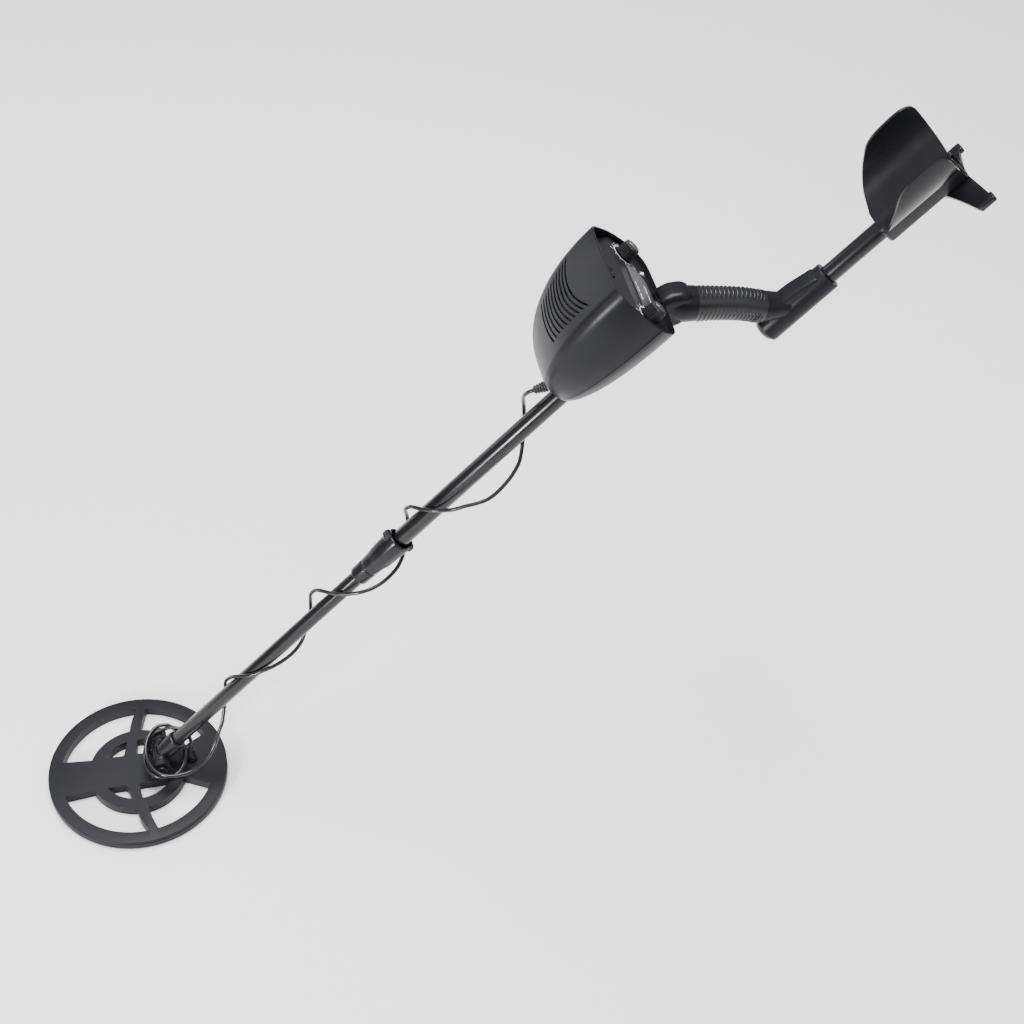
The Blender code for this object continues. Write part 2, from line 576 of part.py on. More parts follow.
def panel_fittings(parts, frame):
    """What sits in the panel: label, lamp, headphone socket and the two rotary controls."""
    outline = [(-0.030, 0.0440), (-0.034, 0.0400), (-0.034, 0.0220), (-0.030, 0.0180), (0.022, 0.0180),
               (0.026, 0.0220), (0.034, 0.0280), (0.034, 0.0400), (0.030, 0.0440)]
    slab("panel_label", outline, PANEL_U + GAP, PANEL_U + 0.0008, parts["label"], frame, plane="yz")
    turned("power_lamp", [(0, 0), (0, 0.0021), (0.0060, 0.0021), (0.0075, 0.0016), (0.0081, 0.0008), (0.0082, 0)],
           parts["lamp"], frame, base=(0.8195, 0.034, 0.0175), sides=16)
    jack_front = panel_front(JACK_V) + 0.0030
    turned("headphone_socket",
           [(0, 0), (0, 0.0046), (0.0175, 0.0046), (0.0180, 0.0042), (0.0180, 0.0020), (0.0050, 0.0020), (0.0050, 0)],
           parts["metal"], frame, base=(jack_front - 0.0180, JACK_Y, JACK_V), sides=SMALL_ROUND)
    for side, word in ((-1, "left"), (1, "right")):
        base = (PANEL_U - 0.0025 - GAP - 0.0120, side * KNOB_Y, KNOB_V)
        pot = rod(f"{word}_control_pot", 0.0120, 0.0085, parts["metal"], frame, base=base, sides=24)
        socket = rod(f"{word}_pot_socket", 0.0120, 0.0033, None, frame, base=(base[0] + 0.0050, *base[1:]), sides=16)
        cut(pot, socket)
        rod(f"{word}_control_stem", 0.0190, 0.0030, parts["metal"], frame, base=(base[0] + 0.0055, *base[1:]),
            sides=16)
        control_knob(f"{word}_control_knob", side, parts["knob"], frame)


def control_knob(name, side, plastic, frame):
    """A fluted cap with a pointer rib, bored for the control's stem."""
    flutes, steps = 12, 2
    rings = []
    for distance, scale in ((0.0006, 0.96), (0.0014, 1.0), (0.0118, 0.90), (0.0136, 0.86), (0.0144, 0.76)):
        ring = []
        for k in range(flutes * steps):
            turn = 2 * math.pi * k / (flutes * steps)
            r = (0.0094 + 0.0004 * math.cos(flutes * turn)) * scale
            ring.append((PANEL_U + distance, side * KNOB_Y + r * math.cos(turn), KNOB_V + r * math.sin(turn)))
        rings.append(ring)
    knob = loft(name, rings, plastic, frame, origin=(PANEL_U, side * KNOB_Y, KNOB_V))
    pointer = box(name + "_pointer", (PANEL_U + 0.0130, side * KNOB_Y - 0.0010, KNOB_V + 0.0010),
                  (PANEL_U + 0.0152, side * KNOB_Y + 0.0010, KNOB_V + 0.0066), None, frame)
    join(knob, pointer)
    bore = rod(name + "_bore", 0.0125, 0.0033, None, frame, base=(PANEL_U - 0.0010, side * KNOB_Y, KNOB_V), sides=16)
    cut(knob, bore)


def electronics(parts, frame):
    """What the housing holds: the board, its parts, the speaker and the battery box."""
    box("circuit_board", (0.7200, -0.0300, 0.0500), (0.8050, 0.0360, 0.0516), parts["board"], frame)
    box("signal_chip", (0.7600, 0.0060, 0.0519), (0.7780, 0.0160, 0.0550), parts["black"], frame)
    rod("audio_capacitor", 0.0110, 0.0050, parts["metal"], frame, base=(0.7950, 0.0220, 0.0519), direction=(0, 0, 1),
        sides=SMALL_ROUND, edge=0.0006)
    box("coil_plug_socket", (0.7230, -0.0080, 0.0519), (0.7330, 0.0080, 0.0590), parts["white"], frame)
    turned("speaker",
           [(0, 0), (0, 0.0110), (0.0050, 0.0110), (0.0060, 0.0180), (0.0105, 0.0250), (0.0125, 0.0250),
            (0.0125, 0.0225), (0.0080, 0.0080), (0.0092, 0.0030), (0.0095, 0)],
           parts["black"], frame, base=(0.7560, 0, 0.0600), direction=(0, 0, 1), sides=32)
    wall = 0.0013
    low, high = (0.7555, -0.0425, 0.0100), (0.8085, -0.0155, 0.0485)
    cell_box = box("battery_box", low, high, parts["black"], frame)
    hollow = box("battery_room", (low[0] + wall, low[1] + wall, -0.01),
                 (high[0] - wall, high[1] - wall, high[2] - wall), None, frame)
    cut(cell_box, hollow)
    for number, bottom in ((1, 0.0100), (2, 0.0284)):
        cell = box(f"battery_{number}", (0.7585, -0.0408, bottom), (0.8050, -0.0172, bottom + 0.0172), parts["cell"],
                   frame, ease=0.0012)
        for k, y in enumerate((-0.0350, -0.0230)):
            terminal = rod(f"battery_{number}_terminal_{k}", 0.0020, 0.0028, None, frame,
                           base=(0.8045, y, bottom + 0.0086), sides=16)
            join(cell, terminal)


def battery_door(plastic, frame):
    """A flat door under the tray that slides off towards the nose, beside the shaft."""
    door = box("battery_door", (0.7500, -0.0440, 0.0034), (0.8120, -0.0163, HOUSING_FLOOR - GAP), plastic, frame)
    soften(door, 0.0006, 1)
    for k in range(4):
        ridge = box(f"door_ridge_{k}", (0.7560 + 0.003 * k, -0.0390, 0.0026), (0.7572 + 0.003 * k, -0.0215, 0.0040),
                    None, frame)
        join(door, ridge)


def strain_relief(rubber, frame):
    """The ribbed boot on the housing's nose, with the cable out of its tip."""
    profile = [(0, 0), (0, 0.0040), (0.0090, 0.0040)]
    for k in range(4):
        start = 0.0090 + k * 0.0034
        radius = 0.0062 - 0.0005 * k
        profile += [(start, radius), (start + 0.0018, radius), (start + 0.0019, radius - 0.0014),
                    (start + 0.0033, radius - 0.0014)]
    profile += [(RELIEF_LENGTH, 0.0032), (RELIEF_LENGTH, 0)]
    turned("cable_strain_relief", profile, rubber, frame, base=RELIEF_FOOT, direction=RELIEF_LEAN, sides=SMALL_ROUND)


def housing_screws(metal, frame):
    """Two screws that fix the tray's saddle to the upper tube, from inside."""
    for number, u in enumerate(SCREW_U, 1):
        turned(f"tray_screw_{number}",
               [(0, 0), (0, 0.0013), (0.0060, 0.0013), (0.0060, 0.0026), (0.0072, 0.0026), (0.0078, 0.0018),
                (0.0078, 0)],
               metal, frame, base=(u, 0, 0.0074), direction=(0, 0, 1), sides=12)


# --- Handle ------------------------------------------------------------------------------------

# Middle line of the grip as (u, v), and half its depth and half its width there
GRIP_LINE = [
    (0.8285, -0.0010, 0.0150, 0.0138), (0.8354, -0.0145, 0.0190, 0.0175), (0.8440, -0.0270, 0.0188, 0.0172),
    (0.8540, -0.0405, 0.0178, 0.0166), (0.8632, -0.0539, 0.0174, 0.0162), (0.8718, -0.0678, 0.0172, 0.0160),
    (0.8783, -0.0808, 0.0170, 0.0160), (0.8842, -0.0925, 0.0168, 0.0156), (0.9020, -0.1150, 0.0125, 0.0125),
]


SLEEVE_FIRST, SLEEVE_LAST = 2, 7  # rows of that line between which the rubber sleeve lies
GRIP_WALL = 0.0024
GRIP_RIBS = 12


def grip_ring(row, along, grow, sides=18):
    u, v, depth, width = row
    across = Vector((-along.z, 0, along.x))
    ring = []
    for j in range(sides):
        turn = 2 * math.pi * j / sides
        point = Vector((u, 0, v)) + across * (depth + grow) * math.cos(turn)
        ring.append(point + Vector((0, 1, 0)) * (width + grow) * math.sin(turn))
    return ring


def grip_along(k):
    """Which way the grip's middle line runs at one of its rows."""
    before, after = GRIP_LINE[max(0, k - 1)], GRIP_LINE[min(len(GRIP_LINE) - 1, k + 1)]
    return Vector((after[0] - before[0], 0, after[1] - before[1])).normalized()


def grip_rings(grow, first, last):
    return [grip_ring(GRIP_LINE[k], grip_along(k), grow) for k in range(first, last + 1)]


def handle_half(name, side, plastic, frame):
    """One moulded half of the handle: front boss, grip core and the rear sleeve for the arm tube."""
    rings = grip_rings(0.0, 0, SLEEVE_FIRST) + grip_rings(-GRIP_WALL, SLEEVE_FIRST, SLEEVE_LAST)
    rings += grip_rings(0.0, SLEEVE_LAST, len(GRIP_LINE) - 1)
    core = loft(name, rings, plastic, frame)
    outline = [(0.8125, -0.0060), (0.8125, -0.0200), (0.8190, -0.0262), (0.8290, -0.0280), (0.8420, -0.0245),
               (0.8520, -0.0150), (0.8545, -0.0085), (0.8520, -0.0015), (0.8430, 0.0075), (0.8330, 0.0120),
               (0.8125, 0.0120)]
    boss = slab(name + "_boss", outline, -0.0145, 0.0145, None, frame, plane="xz")
    soften(boss, 0.0060, 2)
    sleeve = turned(name + "_sleeve",
                    [(0, 0), (0, 0.0095), (0.0050, SLEEVE_RADIUS), (SLEEVE_TO - SLEEVE_FROM - 0.001, SLEEVE_RADIUS),
                     (SLEEVE_TO - SLEEVE_FROM, SLEEVE_RADIUS - 0.001), (SLEEVE_TO - SLEEVE_FROM, 0)],
                    None, frame, base=(SLEEVE_FROM, 0, ARM_V), sides=ROUND)
    web = slab(name + "_web", [(0.8860, -0.0960), (0.9150, -0.0985), (0.9440, -0.1048), (0.9440, -0.1160),
                               (0.8800, -0.1160)], -0.0100, 0.0100, None, frame, plane="xz")
    join(core, boss, sleeve, web)
    arm_bore = rod(name + "_arm_bore", 0.20, UPPER_RADIUS + GAP, None, frame, base=(ARM_FROM - GAP, 0, ARM_V),
                   sides=ROUND)
    shaft_bore = rod(name + "_shaft_bore", 0.20, UPPER_RADIUS + GAP, None, frame, base=(UPPER_TO + GAP - 0.20, 0, 0),
                     sides=ROUND)
    front = box(name + "_front_trim", (0.70, -0.05, HOUSING_FLOOR - GAP), (HOUSING_RIM + GAP, 0.05, 0.08), None,
                frame)
    low, high = (-0.07, GAP / 2) if side > 0 else (-GAP / 2, 0.07)
    other_half = box(name + "_other_half", (0.69, low, -0.21), (1.11, high, 0.11), None, frame)
    cut(core, other_half, front, arm_bore, shaft_bore)
    return core


def grip_sleeve(rubber, frame):
    """The ribbed rubber sleeve over the grip."""
    line = np.array(GRIP_LINE[SLEEVE_FIRST:SLEEVE_LAST + 1])
    share = np.linspace(0, 1, len(line))
    steps = 2 * GRIP_RIBS
    outer = []
    for k in range(steps + 1):
        row = [float(np.interp(k / steps, share, line[:, c])) for c in range(4)]
        near = SLEEVE_FIRST + k / steps * (SLEEVE_LAST - SLEEVE_FIRST)
        along = grip_along(math.floor(near)).lerp(grip_along(math.ceil(near)), near % 1)
        outer.append(grip_ring(row, along.normalized(), 0.0005 if k % 2 else -0.0005))
    for ring, inward in ((outer[0], outer[1]), (outer[-1], outer[-2])):
        shift = (inward[0] - ring[0]).normalized() * GAP
        for point in ring:
            point += shift
    sleeve = loft("grip_sleeve", outer, rubber, frame)
    cut(sleeve, loft("grip_room", grip_rings(2 * GAP - GRIP_WALL, SLEEVE_FIRST - 1, SLEEVE_LAST + 1), None, frame))


def handle_screws(metal, halves, frame):
    """Screws that draw the two halves together, with their heads let into one of them."""
    for number, (u, v) in enumerate(((0.8373, -0.0157), (0.8963, -0.1013)), 1):
        turned(f"handle_screw_{number}",
               [(0, 0), (0, 0.0028), (0.0018, 0.0028), (0.0018, 0.0014), (0.0200, 0.0014), (0.0200, 0)],
               metal, frame, base=(u, 0.0128, v), direction=(0, -1, 0), sides=16)
        hole = turned(f"handle_screw_hole_{number}",
                      [(0, 0), (0, 0.0032), (0.0123, 0.0032), (0.0123, 0.0017), (0.0310, 0.0017), (0.0310, 0)],
                      None, frame, base=(u, 0.0230, v), direction=(0, -1, 0), sides=16)
        for half in halves:
            cut(half, hole)


# --- Arm rest ----------------------------------------------------------------------------------


def arm_tube(metal, plastic, frame):
    tube = pipe("arm_tube", ARM_TO - ARM_FROM, UPPER_RADIUS, UPPER_RADIUS - TUBE_WALL, metal, frame,
                base=(ARM_FROM, 0, ARM_V))
    hole = rod("arm_tube_bolt_hole", 0.05, 0.0029, None, frame, base=(CUP_BOLT_U, 0, ARM_V - 0.025), direction=(0, 0, 1),
               sides=16)
    cut(tube, hole)
    turned("arm_tube_plug",
           [(0, 0), (0, UPPER_RADIUS - TUBE_WALL - GAP), (0.0090, UPPER_RADIUS - TUBE_WALL - GAP),
            (0.0090, UPPER_RADIUS), (0.0115, UPPER_RADIUS), (0.0125, 0.0085), (0.0125, 0)],
           plastic, frame, base=(ARM_TO - 0.0090 + GAP, 0, ARM_V), sides=32)


def arm_cup(plastic, frame):
    """The half-round trough for the forearm, on a channel that straddles the arm tube."""
    steps = 16
    rings = []
    for u, reach in CUP_EDGE:
        ring = []
        for radius, turns in ((CUP_RADIUS, range(steps + 1)), (CUP_RADIUS - CUP_WALL, range(steps, -1, -1))):
            for k in turns:
                angle = -reach + 2 * reach * k / steps
                turn = math.radians(angle - 90)
                lean = 0.006 * max(0.0, (u - 1.064) / 0.0575) * max(0.0, 1 - abs(angle) / 90)
                ring.append((u - lean, radius * math.cos(turn), CUP_V + radius * math.sin(turn)))
        rings.append(ring)
    cup = loft("arm_cup", rings, plastic, frame)
    channel = box("cup_channel", (1.0200, -0.0135, ARM_V - 0.0128), (1.1180, 0.0135, -0.1086), None, frame,
                  ease=0.003)
    join(cup, channel)
    bore = rod("cup_tube_bore", 0.120, UPPER_RADIUS + GAP, None, frame, base=(1.0100, 0, ARM_V), sides=ROUND)
    bolt_hole = rod("cup_bolt_hole", 0.08, 0.0029, None, frame, base=(CUP_BOLT_U, 0, ARM_V - 0.04),
                    direction=(0, 0, 1), sides=16)
    cut(cup, bore, bolt_hole)


def arm_stand(plastic, frame):
    """The two splayed feet under the cup, on which the butt end rests when the detector is put down."""
    top = ARM_V - 0.0128 - GAP
    rings = []
    for k in range(9):
        share = -1 + k / 4
        y = 0.0440 * share
        sag = abs(share) ** 1.7
        high = top - 0.0075 * sag
        thick = 0.0050
        front = 1.0810 + 0.0240 * abs(share) ** 0.8
        back = 1.1150 + 0.0085 * abs(share)
        rings.append([(front, y, high - thick), (back, y, high - thick), (back, y, high), (front, y, high)])
    stand = loft("arm_stand", rings, plastic, frame)
    for side in (-1, 1):
        pad = box(f"stand_pad_{side}", (1.1060, side * 0.0405 - 0.0050, top - 0.0155),
                  (1.1245, side * 0.0405 + 0.0050, top - 0.0085), None, frame)
        join(stand, pad)
    hole = rod("stand_bolt_hole", 0.05, 0.0029, None, frame, base=(CUP_BOLT_U, 0, top - 0.03), direction=(0, 0, 1),
               sides=16)
    cut(stand, hole)


def cup_fasteners(metal, frame):
    under = ARM_V - 0.0128 - GAP - 0.0052 - GAP
    turned("cup_bolt",
           [(0, 0), (0, 0.0040), (0.0010, 0.0050), (0.0032, 0.0050), (0.0032, 0.0025), (0.0370, 0.0025), (0.0370, 0)],
           metal, frame, base=(CUP_BOLT_U, 0, under - 0.0032), direction=(0, 0, 1), sides=24)
    nut = rod("cup_nut", 0.0040, 0.0050, metal, frame, base=(CUP_BOLT_U, 0, -0.1074), direction=(0, 0, 1), sides=6)
    bore = rod("cup_nut_bore", 0.01, 0.0028, None, frame, base=(CUP_BOLT_U, 0, -0.1110), direction=(0, 0, 1), sides=16)
    cut(nut, bore)


# --- Cable -------------------------------------------------------------------------------------


def wrapped(rows):
    """Points of a run round the shaft, in the shaft frame, from (u, turn, distance) rows."""
    points = []
    for u, turn, distance in rows:
        c, s = distance * math.cos(math.radians(turn)), distance * math.sin(math.radians(turn))
        points.append(Vector((u, CABLE_SEES_Y * c + CABLE_SEES_V * s, CABLE_SEES_V * c - CABLE_SEES_Y * s)))
    return points


def smooth_run(rows):
    """Closely spaced rows on a smooth curve through the given ones."""
    rows = np.array([tuple(row) for row in rows], dtype=float)
    padded = np.vstack([2 * rows[0] - rows[1], rows, 2 * rows[-1] - rows[-2]])
    fine = []
    for k in range(1, len(padded) - 2):
        p0, p1, p2, p3 = padded[k - 1 : k + 3]
        for step in range(12):
            t = step / 12
            fine.append(0.5 * (2 * p1 + (p2 - p0) * t + (2 * p0 - 5 * p1 + 4 * p2 - p3) * t * t
                               + (3 * p1 - p0 - 3 * p2 + p3) * t**3))
    fine.append(rows[-1])
    return [tuple(row) for row in fine]


def cable_route(to_coil):
    """The cable's middle line in the shaft frame, and where along it the three runs part."""
    tip = RELIEF_FOOT + RELIEF_LEAN * RELIEF_LENGTH
    start = [tip, tip + RELIEF_LEAN * 0.003]
    upper = wrapped(smooth_run(CABLE_UPPER))
    middle = wrapped(smooth_run(CABLE_MIDDLE))
    tail = wrapped(CABLE_LEAVING[1:]) + [to_coil @ Vector(p) for p in CABLE_LOOPS]
    points = [Vector(p) for p in smooth_run(start + upper[::6] + middle[6::6] + tail)]
    line = np.array([tuple(p) for p in points])
    along = np.concatenate([[0], np.cumsum(np.linalg.norm(np.diff(line, axis=0), axis=1))])
    parts = [0.0]
    for joint in (upper[-1], middle[-1]):
        nearest = np.argmin(np.linalg.norm(line - np.array(tuple(joint)), axis=1))
        parts.append(float(along[nearest]))
    return line, along, [*parts, float(along[-1])]


def run_points(line, along, start, end, spacing):
    """Evenly spaced points of one run, straight for a little at each end so that its ends sit square."""
    def at(distance):
        return Vector([float(np.interp(distance, along, line[:, c])) for c in range(3)])

    count = max(3, round((end - start) / spacing) + 1)
    points = [at(d) for d in np.linspace(start, end, count)]
    first = (at(start + 0.002) - at(max(0.0, start - 0.002))).normalized()
    last = (at(min(along[-1], end + 0.002)) - at(end - 0.002)).normalized()
    head = [points[0] + first * GAP / 2, points[0] + first * 0.0035]
    foot = [points[-1] - last * 0.0035, points[-1] - last * GAP / 2]
    return [*head, *points[1:-1], *foot]


def cable(name, points, finish, frame):
    curve = bpy.data.curves.new(name, "CURVE")
    curve.dimensions = "3D"
    curve.bevel_depth = CABLE_RADIUS
    curve.bevel_resolution = 2
    curve.use_fill_caps = True
    line = curve.splines.new("POLY")
    line.points.add(len(points) - 1)
    for point, place in zip(line.points, points):
        point.co = (*place, 1.0)
    curve.materials.append(finish)
    obj = bpy.data.objects.new(name, curve)
    bpy.context.collection.objects.link(obj)
    obj.parent = frame
    return obj


def cables(rubber, frame, to_coil):
    """The search-coil cable in three runs that meet end to end."""
    line, along, ends = cable_route(to_coil)
    for name, start, end, spacing in (("cable_upper", ends[0], ends[1], 0.0135),
                                      ("cable_middle", ends[1], ends[2], 0.0132),
                                      ("cable_tail", ends[2], ends[3], 0.0108)):
        points = run_points(line, along, start, end, spacing)
        cable(name, points, rubber, frame)
        print(f"{name} {1000 * (end - start):.0f} mm, {len(points)} points")


def build():
    clear_scene()
    parts = {
        "housing": material("housing_plastic", (0.045, 0.045, 0.048), 0.45),
        "coil": material("coil_plastic", (0.035, 0.035, 0.038), 0.55),
        "gloss": material("gloss_plastic", (0.018, 0.018, 0.019), 0.30),
        "tube": material("painted_tube", (0.012, 0.012, 0.013), 0.22, 0.3),
        "rubber": material("black_rubber", (0.020, 0.020, 0.021), 0.60),
        "cable": material("cable_rubber", (0.012, 0.012, 0.013), 0.30),
        "knob": material("knob_plastic", (0.020, 0.020, 0.022), 0.35),
        "label": material("panel_label", (0.16, 0.15, 0.17), 0.40),
        "lamp": material("lamp_white", (0.85, 0.85, 0.85), 0.25),
        "metal": material("plated_steel", (0.55, 0.55, 0.56), 0.30, 0.9),
        "copper": material("copper_wire", (0.60, 0.26, 0.12), 0.40, 0.8),
        "board": material("board_green", (0.03, 0.14, 0.06), 0.50),
        "black": material("black_moulding", (0.020, 0.020, 0.020), 0.50),
        "white": material("white_nylon", (0.70, 0.70, 0.68), 0.50),
        "cell": material("battery_case", (0.06, 0.10, 0.22), 0.40),
    }
    turn = Matrix.Rotation(-SHAFT_ANGLE, 4, "Y")
    start = turn @ Vector((-GRIP_U, 0, -GRIP_V))
    shaft = empty("shaft_frame", location=start, rotation=(0, -SHAFT_ANGLE, 0))
    shaft_matrix = Matrix.Translation(start) @ turn
    coil_place = shaft_matrix @ Vector((0, 0, 0)) - Vector((PIVOT_X, 0, PIVOT_Z))
    coil = empty("coil_frame", location=coil_place)
    to_coil = shaft_matrix.inverted() @ Matrix.Translation(coil_place)
    bpy.context.view_layer.update()

    coil_shells(parts["coil"], coil)
    windings(parts["copper"], coil)
    coil_gland(parts["rubber"], coil)
    pivot_hardware(parts["gloss"], parts["rubber"], coil)
    pivot_knob(parts["gloss"], coil)
    shaft_end_fitting(parts["gloss"], shaft)
    tubes(parts["tube"], parts["white"], shaft)
    lock_collar(parts["gloss"], shaft)
    housing_top(parts["housing"], shaft)
    housing_tray(parts["housing"], shaft)
    control_panel(parts["black"], shaft)
    panel_fittings(parts, shaft)
    electronics(parts, shaft)
    battery_door(parts["housing"], shaft)
    strain_relief(parts["rubber"], shaft)
    housing_screws(parts["metal"], shaft)
    halves = [handle_half("handle_left_half", -1, parts["housing"], shaft),
              handle_half("handle_right_half", 1, parts["housing"], shaft)]
    handle_screws(parts["metal"], halves, shaft)
    grip_sleeve(parts["rubber"], shaft)
    arm_tube(parts["tube"], parts["black"], shaft)
    arm_cup(parts["gloss"], shaft)
    arm_stand(parts["gloss"], shaft)
    cup_fasteners(parts["metal"], shaft)
    cables(parts["cable"], shaft, to_coil)


build()
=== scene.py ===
import math
import bmesh
import bpy
import numpy as np
from mathutils import Matrix, Vector


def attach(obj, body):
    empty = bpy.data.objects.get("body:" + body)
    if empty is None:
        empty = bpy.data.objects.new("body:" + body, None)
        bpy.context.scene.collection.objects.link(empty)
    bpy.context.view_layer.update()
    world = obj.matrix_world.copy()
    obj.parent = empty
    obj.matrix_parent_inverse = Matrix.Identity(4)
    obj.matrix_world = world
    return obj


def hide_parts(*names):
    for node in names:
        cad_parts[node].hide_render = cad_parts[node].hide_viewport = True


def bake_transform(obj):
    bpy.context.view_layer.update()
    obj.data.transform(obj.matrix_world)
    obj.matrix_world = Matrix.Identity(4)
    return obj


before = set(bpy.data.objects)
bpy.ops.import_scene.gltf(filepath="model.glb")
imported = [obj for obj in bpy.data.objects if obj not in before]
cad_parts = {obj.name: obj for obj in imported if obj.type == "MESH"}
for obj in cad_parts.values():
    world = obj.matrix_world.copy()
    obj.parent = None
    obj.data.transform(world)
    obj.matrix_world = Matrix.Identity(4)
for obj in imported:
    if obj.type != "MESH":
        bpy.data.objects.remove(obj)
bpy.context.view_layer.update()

# Layout: u runs up the shaft from the coil's pivot, y is the detector's right, v is square to both
ANGLE = math.radians(48)
GRIP_U, GRIP_V = 0.871, -0.06
COS, SIN = math.cos(ANGLE), math.sin(ANGLE)


def S(u, y, v):
    """A point of the shaft frame in the row frame."""
    return Vector(((u - GRIP_U) * COS - (v - GRIP_V) * SIN, y, (u - GRIP_U) * SIN + (v - GRIP_V) * COS))


def D(u, y, v):
    """A direction of the shaft frame in the row frame."""
    return Vector((u * COS - v * SIN, y, u * SIN + v * COS))


ACROSS, UP_SHAFT = (0, 1, 0), D(1, 0, 0)
SIDES = ((-1, "left"), (1, "right"))
ARM_V = -0.1195  # the axis of the arm tube
TUBE_WAY = 0.0103  # radius of a bore that takes a 20 mm tube
PIVOT_X, PIVOT_Z = 0.0284, 0.0215
COIL = S(0, 0, 0) - Vector((PIVOT_X, 0, PIVOT_Z))


def K(x, y, z):
    """A point from the middle of the coil's top face, in the row frame."""
    return COIL + Vector((x, y, z))


# --- Camera and light -------------------------------------------------------------------------


def node(tree, kind, settings, links=()):
    """A shader node with its settings, its inputs linked to other nodes' outputs."""
    made = tree.nodes.new("ShaderNode" + kind)
    for name, value in settings.items():
        made.inputs[name].default_value = value
    for name, source in links:
        tree.links.new(source, made.inputs[name])
    return made


def add_camera():
    """High up on the detector's left, looking down along the shaft."""
    data = bpy.data.cameras.new("photo_camera")
    camera = bpy.data.objects.new("photo_camera", data)
    bpy.context.collection.objects.link(camera)
    right = Vector((0.97473, -0.21858, 0.04606))
    down = Vector((-0.12637, -0.70959, -0.69319))
    ahead = Vector((0.1842, 0.66986, -0.71928))
    turn = Matrix((right, -down, -ahead)).transposed().to_4x4()
    camera.matrix_world = Matrix.Translation((-0.57619, -1.31056, 1.13923)) @ turn
    data.sensor_width = 36
    data.lens = 62.985
    data.clip_start = 0.01
    bpy.context.scene.camera = camera


def area_light(name, place, aim, size, power):
    data = bpy.data.lights.new(name, "AREA")
    data.shape = "DISK"
    data.size = size
    data.energy = power
    lamp = bpy.data.objects.new(name, data)
    bpy.context.collection.objects.link(lamp)
    lamp.location = place
    lamp.rotation_euler = (Vector(aim) - Vector(place)).to_track_quat("-Z", "Y").to_euler()


def add_floor():
    reach, low = 9, -0.6415
    corners = [(-reach, -reach, low), (reach, -reach, low), (reach, reach, low), (-reach, reach, low)]
    data = bpy.data.meshes.new("studio_floor")
    data.from_pydata(corners, [], [(0, 1, 2, 3)])
    floor = bpy.data.objects.new("studio_floor", data)
    bpy.context.collection.objects.link(floor)
    paint = bpy.data.materials.new("floor_paint")
    paint.use_nodes = True
    shader = paint.node_tree.nodes["Principled BSDF"]
    shader.inputs["Base Color"].default_value = (0.86, 0.86, 0.86, 1)
    shader.inputs["Roughness"].default_value = 0.9
    data.materials.append(paint)


def add_light():
    """A backdrop that is darker low down, which keeps black plastic black, and four soft lamps."""
    world = bpy.data.worlds.new("studio")
    bpy.context.scene.world = world
    world.use_nodes = True
    tree = world.node_tree
    backdrop = tree.nodes["Background"]
    backdrop.inputs[0].default_value = (1, 1, 1, 1)
    split = node(tree, "SeparateXYZ", {}, [("Vector", node(tree, "TexCoord", {}).outputs["Generated"])])
    fade = node(tree, "MapRange", {"To Min": 0.12, "To Max": 1.15}, [("Value", split.outputs["Z"])])
    tree.links.new(fade.outputs["Result"], backdrop.inputs[1])
    middle = (-0.1, 0, 0)
    area_light("overhead", (-0.5, 0.3, 3.0), middle, 2.4, 260)
    area_light("back_left", (-2.3, 2.1, 0.45), middle, 1.3, 12)
    area_light("front_left", (-2.25, -1.77, 0.36), middle, 0.5, 90)
    area_light("fill", (1.6, -2.2, 1.4), (0, 0, 0), 1.6, 8)


# --- Materials --------------------------------------------------------------------------------

MADE = {}
CLOUD_SCALE = 14.0
GLOSS_SPREAD = 0.08
STREAK_SCALE = (40, 900, 40)


def finish(name, colour, roughness, metallic=0.0, grain=900, bump=0.12, spread=0.1, coat=0.0, scratches=0.0,
           shine=0.5):
    """A moulded or painted surface: fine grain, slow changes of tone and gloss, and faint scuffs."""
    made = bpy.data.materials.new(name)
    made.use_nodes = True
    tree = made.node_tree
    shader = tree.nodes["Principled BSDF"]
    for socket, value in (("Metallic", metallic), ("Specular IOR Level", shine), ("Coat Weight", coat),
                          ("Coat Roughness", 0.12)):
        shader.inputs[socket].default_value = value
    place = node(tree, "TexCoord", {}).outputs["Object"]
    slow = node(tree, "TexNoise", {"Scale": CLOUD_SCALE, "Detail": 4.0}, [("Vector", place)]).outputs["Fac"]
    fine = node(tree, "TexNoise", {"Scale": grain, "Detail": 2.0}, [("Vector", place)]).outputs["Fac"]
    tone = node(tree, "ValToRGB", {}, [("Fac", slow)])
    low, high = tone.color_ramp.elements
    low.position, high.position = 0.3, 0.7
    low.color = (*[c * (1 - spread) for c in colour], 1)
    high.color = (*[min(1.0, c * (1 + spread) + 0.0004) for c in colour], 1)
    source = slow
    if scratches:
        stretch = node(tree, "Mapping", {"Scale": STREAK_SCALE}, [("Vector", place)])
        streaks = node(tree, "TexNoise", {"Scale": 1.0}, [("Vector", stretch.outputs["Vector"])])
        mix = node(tree, "Math", {1: scratches}, [(0, streaks.outputs["Fac"]), (2, slow)])
        mix.operation = "MULTIPLY_ADD"
        source = mix.outputs[0]
    limits = {"From Min": 0.25, "From Max": 0.75, "To Min": max(0.04, roughness - GLOSS_SPREAD),
              "To Max": min(1.0, roughness + GLOSS_SPREAD)}
    gloss = node(tree, "MapRange", limits, [("Value", source)])
    dent = node(tree, "Bump", {"Strength": bump, "Distance": 0.0004}, [("Height", fine)])
    tree.links.new(tone.outputs["Color"], shader.inputs["Base Color"])
    tree.links.new(gloss.outputs["Result"], shader.inputs["Roughness"])
    tree.links.new(dent.outputs["Normal"], shader.inputs["Normal"])
    MADE[name] = made


